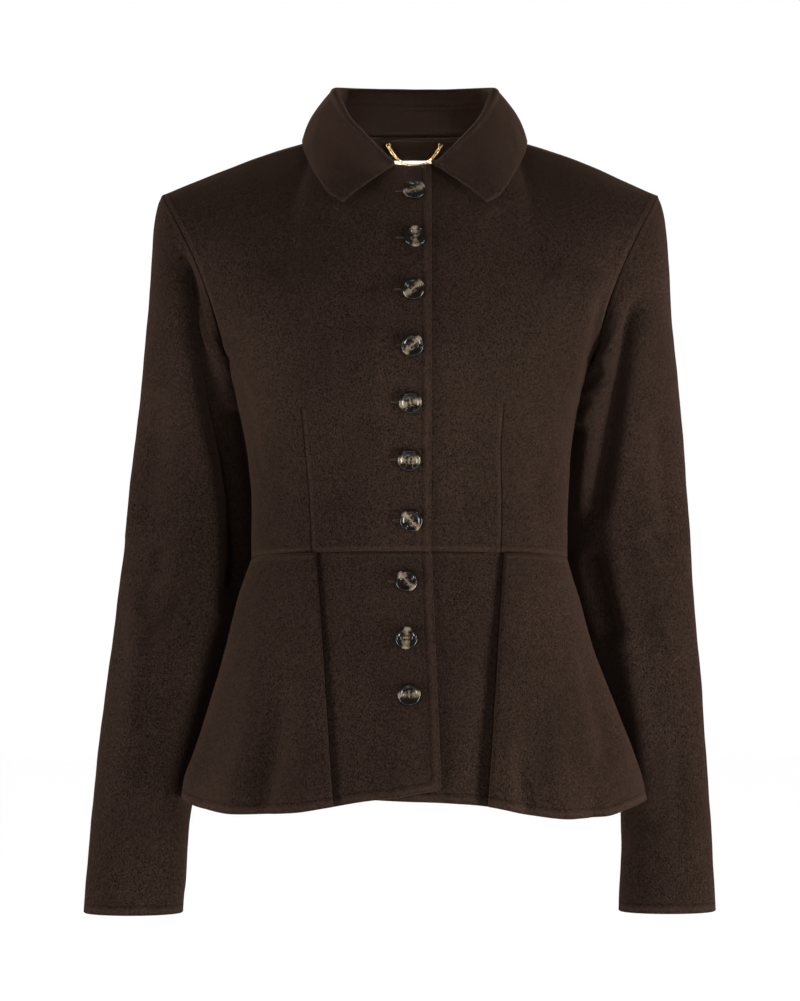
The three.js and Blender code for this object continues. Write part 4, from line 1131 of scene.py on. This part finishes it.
# Fibres: fine streaks brushed downwards, with a fainter grain across
fibres, gin, gout = new_group(
    "Fibres",
    [("Position", "NodeSocketVector", None), ("Fineness", "NodeSocketFloat", 1400.0),
     ("Length", "NodeSocketFloat", 4.0), ("Tangle", "NodeSocketFloat", 1.0)],
    [("Height", "NodeSocketFloat"), ("Mask", "NodeSocketFloat")])
shrink = add(fibres, "ShaderNodeCombineXYZ", {
    "X": 1.0, "Y": 1.0, "Z": math_node(fibres, "DIVIDE", 1.0, gin.outputs["Length"])})
stretched = add(fibres, "ShaderNodeVectorMath", {0: gin.outputs["Position"], 1: shrink.outputs[0]},
                operation="MULTIPLY")
streaks = add(fibres, "ShaderNodeTexNoise", {
    "Vector": stretched.outputs[0], "Scale": gin.outputs["Fineness"], "Detail": 1.5,
    "Roughness": 0.6, "Distortion": gin.outputs["Tangle"]})
specks = add(fibres, "ShaderNodeTexNoise", {
    "Vector": gin.outputs["Position"],
    "Scale": math_node(fibres, "MULTIPLY", gin.outputs["Fineness"], 0.7), "Detail": 2.0})
mixed = math_node(fibres, "MULTIPLY_ADD", streaks.outputs[0], 0.75,
                  math_node(fibres, "MULTIPLY", specks.outputs[0], 0.25))
fibres.links.new(mixed, gout.inputs["Height"])
mask = add(fibres, "ShaderNodeMapRange", {"Value": mixed, "From Min": 0.42, "From Max": 0.58})
fibres.links.new(mask.outputs[0], gout.inputs["Mask"])

# Clouds: slow patches where the nap lies flatter or stands up
clouds, gin, gout = new_group(
    "Clouds",
    [("Position", "NodeSocketVector", None), ("Size", "NodeSocketFloat", 0.04)],
    [("Mask", "NodeSocketFloat")])
size = math_node(clouds, "DIVIDE", 1.0, gin.outputs["Size"])
patch = add(clouds, "ShaderNodeTexNoise", {
    "Vector": gin.outputs["Position"], "Scale": size, "Detail": 3.0, "Roughness": 0.55})
mask = add(clouds, "ShaderNodeMapRange", {"Value": patch.outputs[0], "From Min": 0.3, "From Max": 0.7})
clouds.links.new(mask.outputs[0], gout.inputs["Mask"])

# Line mark: 1 on a line at a stated distance, falling to 0 at its width
line_mark, gin, gout = new_group(
    "Line mark",
    [("Distance", "NodeSocketFloat", 99.0), ("Centre", "NodeSocketFloat", 0.0),
     ("Width", "NodeSocketFloat", 1.0)],
    [("Mark", "NodeSocketFloat")])
gap = math_node(line_mark, "ABSOLUTE",
                math_node(line_mark, "SUBTRACT", gin.outputs["Distance"], gin.outputs["Centre"]))
fall = add(line_mark, "ShaderNodeMapRange", {
    "Value": gap, "From Min": gin.outputs["Width"], "From Max": 0.0}, interpolation_type="SMOOTHSTEP")
line_mark.links.new(fall.outputs[0], gout.inputs["Mark"])

# Sewn lines: grooves and the soft puff beside them, at seams, edges and darts, with masks for painted
# shade in the grooves and a painted highlight on the ridges beside them
sewing, gin, gout = new_group(
    "Sewn lines",
    [("Seam", "NodeSocketFloat", 99.0), ("Edge", "NodeSocketFloat", 99.0),
     ("Dart", "NodeSocketFloat", 99.0), ("Wander", "NodeSocketFloat", 0.0)],
    [("Height", "NodeSocketFloat"), ("Shade", "NodeSocketFloat"), ("Ridge highlight", "NodeSocketFloat")])
seam_distance = gin.outputs["Seam"]
edge_distance = math_node(sewing, "ADD", gin.outputs["Edge"], gin.outputs["Wander"])
dart_distance = math_node(sewing, "ADD", gin.outputs["Dart"],
                          math_node(sewing, "MULTIPLY", gin.outputs["Wander"], 0.5))


def mark(distance, centre, width):
    return use(sewing, line_mark, Distance=distance, Centre=centre, Width=width).outputs[0]


def faint_mark(distance, centre, width, share):
    return math_node(sewing, "MULTIPLY", mark(distance, centre, width), share)


height = 0.0
for distance, centre, width, push in (
        (seam_distance, 0.0, 1.8, -0.5), (seam_distance, 4.2, 3.2, 0.3),
        (edge_distance, 7.6, 1.8, -0.32), (edge_distance, 3.8, 3.8, 0.3),
        (dart_distance, 0.0, 1.3, -0.8), (dart_distance, 2.9, 2.6, 0.45)):
    height = math_node(sewing, "MULTIPLY_ADD", mark(distance, centre, width), push, height)
sewing.links.new(height, gout.inputs["Height"])
# Shade: mask for painted shade, darker colour in the grooves of seams, edges and darts
shade = math_node(sewing, "MAXIMUM", faint_mark(seam_distance, 0.0, 1.0, 0.6),
                  faint_mark(edge_distance, 7.6, 1.2, 0.3))
shade = math_node(sewing, "MAXIMUM", shade, faint_mark(dart_distance, 0.0, 0.9, 0.8))
sewing.links.new(shade, gout.inputs["Shade"])
# Ridge highlight: mask for a painted highlight, paler colour on the raised ridges beside seams, edges
# and darts
ridge_highlight = math_node(sewing, "MAXIMUM", mark(seam_distance, 3.2, 2.6), mark(edge_distance, 3.2, 3.4))
ridge_highlight = math_node(sewing, "MAXIMUM", ridge_highlight, faint_mark(dart_distance, 2.6, 2.2, 0.7))
sewing.links.new(ridge_highlight, gout.inputs["Ridge highlight"])

# Horn streaks: a pale band with ragged sides across a dark disc
streaky, gin, gout = new_group(
    "Horn streaks",
    [("Map", "NodeSocketVector", None), ("Band", "NodeSocketFloat", 0.3),
     ("Dark", "NodeSocketColor", None), ("Pale", "NodeSocketColor", None)],
    [("Colour", "NodeSocketColor"), ("Mask", "NodeSocketFloat")])
ragged = add(streaky, "ShaderNodeTexNoise", {
    "Vector": gin.outputs["Map"], "Scale": 2.2, "Detail": 4.0, "Roughness": 0.6})
across_band = add(streaky, "ShaderNodeSeparateXYZ", {0: gin.outputs["Map"]})
wobble = math_node(streaky, "MULTIPLY_ADD", ragged.outputs[0], 1.1, -0.55)
band_place = math_node(streaky, "ABSOLUTE", math_node(streaky, "ADD", across_band.outputs["Y"], wobble))
band_mask = use(streaky, line_mark, Distance=band_place, Centre=0.0, Width=gin.outputs["Band"])
colour = add(streaky, "ShaderNodeMix", {0: band_mask.outputs[0], 6: gin.outputs["Dark"],
                                        7: gin.outputs["Pale"]}, data_type="RGBA")
streaky.links.new(colour.outputs[2], gout.inputs["Colour"])
streaky.links.new(band_mask.outputs[0], gout.inputs["Mask"])
print("groups", [g.name for g in bpy.data.node_groups])

# %% [markdown]
# ## Materials
# The wool is almost black brown. What gives it life is the nap: fine and coarse fibres mix two
# browns, a small bump lets them catch the light, and a trace of sheen stands for the fibre tips.
# Painted shade darkens the sewn grooves, and a painted highlight makes the raised ridges beside
# them a little paler. The horn is polished, the chain is bright gold, the label is white tape.

# %% Materials


def new_material(name):
    material = bpy.data.materials.new(name)
    material.use_nodes = True
    tree = material.node_tree
    return material, tree, tree.nodes["Principled BSDF"]


def read(tree, name):
    return add(tree, "ShaderNodeAttribute", attribute_name=name).outputs["Fac"]


def mix(tree, factor, a, b):
    return add(tree, "ShaderNodeMix", {0: factor, 6: a, 7: b}, data_type="RGBA").outputs[2]


def tint(tree, mask, share, under, colour):
    """Mixes a colour over another one where a mask says so, up to a share."""
    return mix(tree, math_node(tree, "MULTIPLY", mask, share), under, colour)


def cover(tree, shader, colour, height, distance, **values):
    """Colour, bump and the plain values of one surface."""
    tree.links.new(colour, shader.inputs["Base Color"])
    bump = add(tree, "ShaderNodeBump", {"Height": height, "Distance": distance})
    tree.links.new(bump.outputs[0], shader.inputs["Normal"])
    set_values(shader, **values)


def set_values(shader, **values):
    for key, value in values.items():
        shader.inputs[key.replace("_", " ")].default_value = value


wool, tree, shader = new_material("wool")
cloth_map = add(tree, "ShaderNodeTexCoord").outputs["Object"]
fibre = use(tree, fibres, Position=cloth_map, Fineness=1350.0, Length=1.7, Tangle=0.2)
coarse = use(tree, fibres, Position=cloth_map, Fineness=700.0, Length=1.6, Tangle=0.3)
cloud = use(tree, clouds, Position=cloth_map, Size=0.03)
broad = use(tree, clouds, Position=cloth_map, Size=0.10)
wander = math_node(tree, "MULTIPLY_ADD", cloud.outputs[0], 0.8, -0.4)
sewn = use(tree, sewing, Seam=read(tree, "seam"), Edge=read(tree, "edge"),
           Dart=read(tree, "dart"), Wander=wander)
nap = math_node(tree, "MULTIPLY_ADD", fibre.outputs["Mask"], 0.65,
                math_node(tree, "MULTIPLY", coarse.outputs["Mask"], 0.35))
base = mix(tree, nap, (0.0004, 0.0002, 0.0002, 1), (0.0082, 0.0050, 0.0037, 1))
base = tint(tree, cloud.outputs[0], 0.2, base, (0.0056, 0.0034, 0.0025, 1))
base = tint(tree, broad.outputs[0], 0.35, base, (0.0014, 0.0009, 0.0006, 1))
# painted highlight: paler brown on the ridges beside sewn lines
base = tint(tree, sewn.outputs["Ridge highlight"], 0.25, base, (0.0092, 0.0056, 0.0042, 1))
# painted shade: near black in the sewn grooves
base = tint(tree, sewn.outputs["Shade"], 0.8, base, (0.0002, 0.0001, 0.0001, 1))
height = math_node(tree, "MULTIPLY_ADD", fibre.outputs["Height"], 0.15, sewn.outputs["Height"])
height = math_node(tree, "MULTIPLY_ADD", coarse.outputs["Height"], 0.07, height)
height = math_node(tree, "MULTIPLY_ADD", cloud.outputs[0], 0.10, height)
cover(tree, shader, base, height, 0.001, Roughness=0.92, Specular_IOR_Level=0.03, IOR=1.1,
      Sheen_Weight=0.03, Sheen_Roughness=0.5, Sheen_Tint=(0.46, 0.27, 0.19, 1))

horn, tree, shader = new_material("horn")
streak_uv = add(tree, "ShaderNodeUVMap", uv_map="streak").outputs[0]
grain = use(tree, streaky, Map=streak_uv, Band=0.40, Dark=(0.0010, 0.0007, 0.0005, 1),
            Pale=(0.040, 0.031, 0.020, 1))
tree.links.new(grain.outputs["Colour"], shader.inputs["Base Color"])
set_values(shader, Roughness=0.14, Specular_IOR_Level=0.06)

thread_material, tree, shader = new_material("thread")
where = add(tree, "ShaderNodeTexCoord").outputs["Object"]
twist = use(tree, fibres, Position=where, Fineness=3500.0, Length=1.5, Tangle=0.2)
colour = mix(tree, twist.outputs["Mask"], (0.007, 0.0045, 0.0034, 1), (0.017, 0.012, 0.009, 1))
cover(tree, shader, colour, twist.outputs["Height"], 0.0001, Roughness=0.9, Specular_IOR_Level=0.03)

tape, tree, shader = new_material("label")
tape_map = add(tree, "ShaderNodeUVMap", uv_map="cloth").outputs[0]
rib = use(tree, fibres, Position=tape_map, Fineness=3000.0, Length=0.4, Tangle=0.1)
colour = mix(tree, rib.outputs["Mask"], (0.78, 0.76, 0.71, 1), (0.9, 0.88, 0.84, 1))
cover(tree, shader, colour, rib.outputs["Height"], 0.0001, Roughness=0.55)

white_thread, tree, shader = new_material("white thread")
set_values(shader, Base_Color=(0.8, 0.78, 0.74, 1), Roughness=0.7)

gold, tree, shader = new_material("chain")
where = add(tree, "ShaderNodeTexCoord").outputs["Object"]
wear = use(tree, clouds, Position=where, Size=0.004)
tree.links.new(mix(tree, wear.outputs[0], (0.86, 0.60, 0.22, 1), (0.95, 0.74, 0.36, 1)),
               shader.inputs["Base Color"])
set_values(shader, Metallic=1.0, Roughness=0.22)
print("materials", [m.name for m in bpy.data.materials])

# %% [markdown]
# ## What each piece is, and what it stands for
# Every visible piece rides on the one rigid body and takes its material; a piece that stands
# for a solid replaces it, and the solid is hidden.


def dress(piece, material, node=None):
    piece.data.materials.clear()
    piece.data.materials.append(material)
    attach(piece, "root")
    if node:
        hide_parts(node)


def cloth_area(piece):
    return sum(p.area for p in piece.data.polygons) / 2


for name, piece in cloth_pieces.items():
    dress(piece, wool, name)
for i, (button, thread, hole) in enumerate(zip(horn_pieces, thread_pieces, slit_pieces)):
    dress(button, horn, f"button_{i + 1:02d}")
    dress(thread, thread_material)
    dress(hole, thread_material)
dress(label, tape, "neck_label")
print(f"label: {cloth_area(label):.5f} m2")
dress(label_thread, white_thread)
dress(chain, gold, "hanger_chain")

# %% [markdown]
# ## Room and light
# The photograph has a plain white ground and broad, even light. A pale floor lies well below
# the jacket in a white room. A soft light stands on each side, two smaller ones in front and a
# little above the shoulders make the horn shine and the flared peplum brighter than the waist, a
# weak one lies low in front, two light the back, and a narrow one from above in front reaches
# into the neck.

# %% Stage and lights
floor = new_object("floor", [(-15, -15, -1.35), (15, -15, -1.35), (15, 15, -1.35), (-15, 15, -1.35)],
                   [(0, 1, 2, 3)])
paper, tree, shader = new_material("paper")
set_values(shader, Base_Color=(0.99, 0.99, 0.99, 1), Roughness=0.9)
floor.data.materials.append(paper)


def soft_light(name, place, aim, size, power):
    data = bpy.data.lights.new(name, "AREA")
    data.shape, data.size, data.size_y, data.energy = "RECTANGLE", size[0], size[1], power
    lamp = bpy.data.objects.new(name, data)
    bpy.context.scene.collection.objects.link(lamp)
    way = np.array(aim) - np.array(place)
    lamp.location = place
    lamp.rotation_euler = Vector(way).to_track_quat("-Z", "Y").to_euler()
    lamp.visible_camera = False
    return lamp


soft_light("left", (-1.9, -1.0, -0.8), (0, 0, -0.5), (0.6, 1.1), 175)
soft_light("right", (1.9, -0.9, -0.8), (0, 0, -0.5), (0.6, 1.1), 265)
soft_light("front left", (-0.55, -1.35, 0.15), (0, 0, -0.6), (0.13, 0.17), 13)
soft_light("front right", (0.55, -1.35, 0.15), (0, 0, -0.6), (0.13, 0.17), 17)
soft_light("low", (0.2, -1.3, -1.2), (0, 0, -0.6), (0.5, 0.25), 8)
for x in (-0.9, 0.9):
    soft_light("behind", (x, 1.7, 1.5), (0, 0.1, -0.4), (0.8, 0.8), 30)
neck = soft_light("neck", (0.2, -2.1, 1.4), (0, 0.02, 0.0), (0.1, 0.06), 0.36)
neck.data.spread = math.radians(5)
world = bpy.data.worlds.new("room")
world.use_nodes = True
set_values(world.node_tree.nodes["Background"], Color=(1, 1, 1, 1), Strength=1.0)
bpy.context.scene.world = world
view_settings = bpy.context.scene.view_settings
view_settings.view_transform = "Standard"
view_settings.look = "None"
view_settings.exposure = 0.0
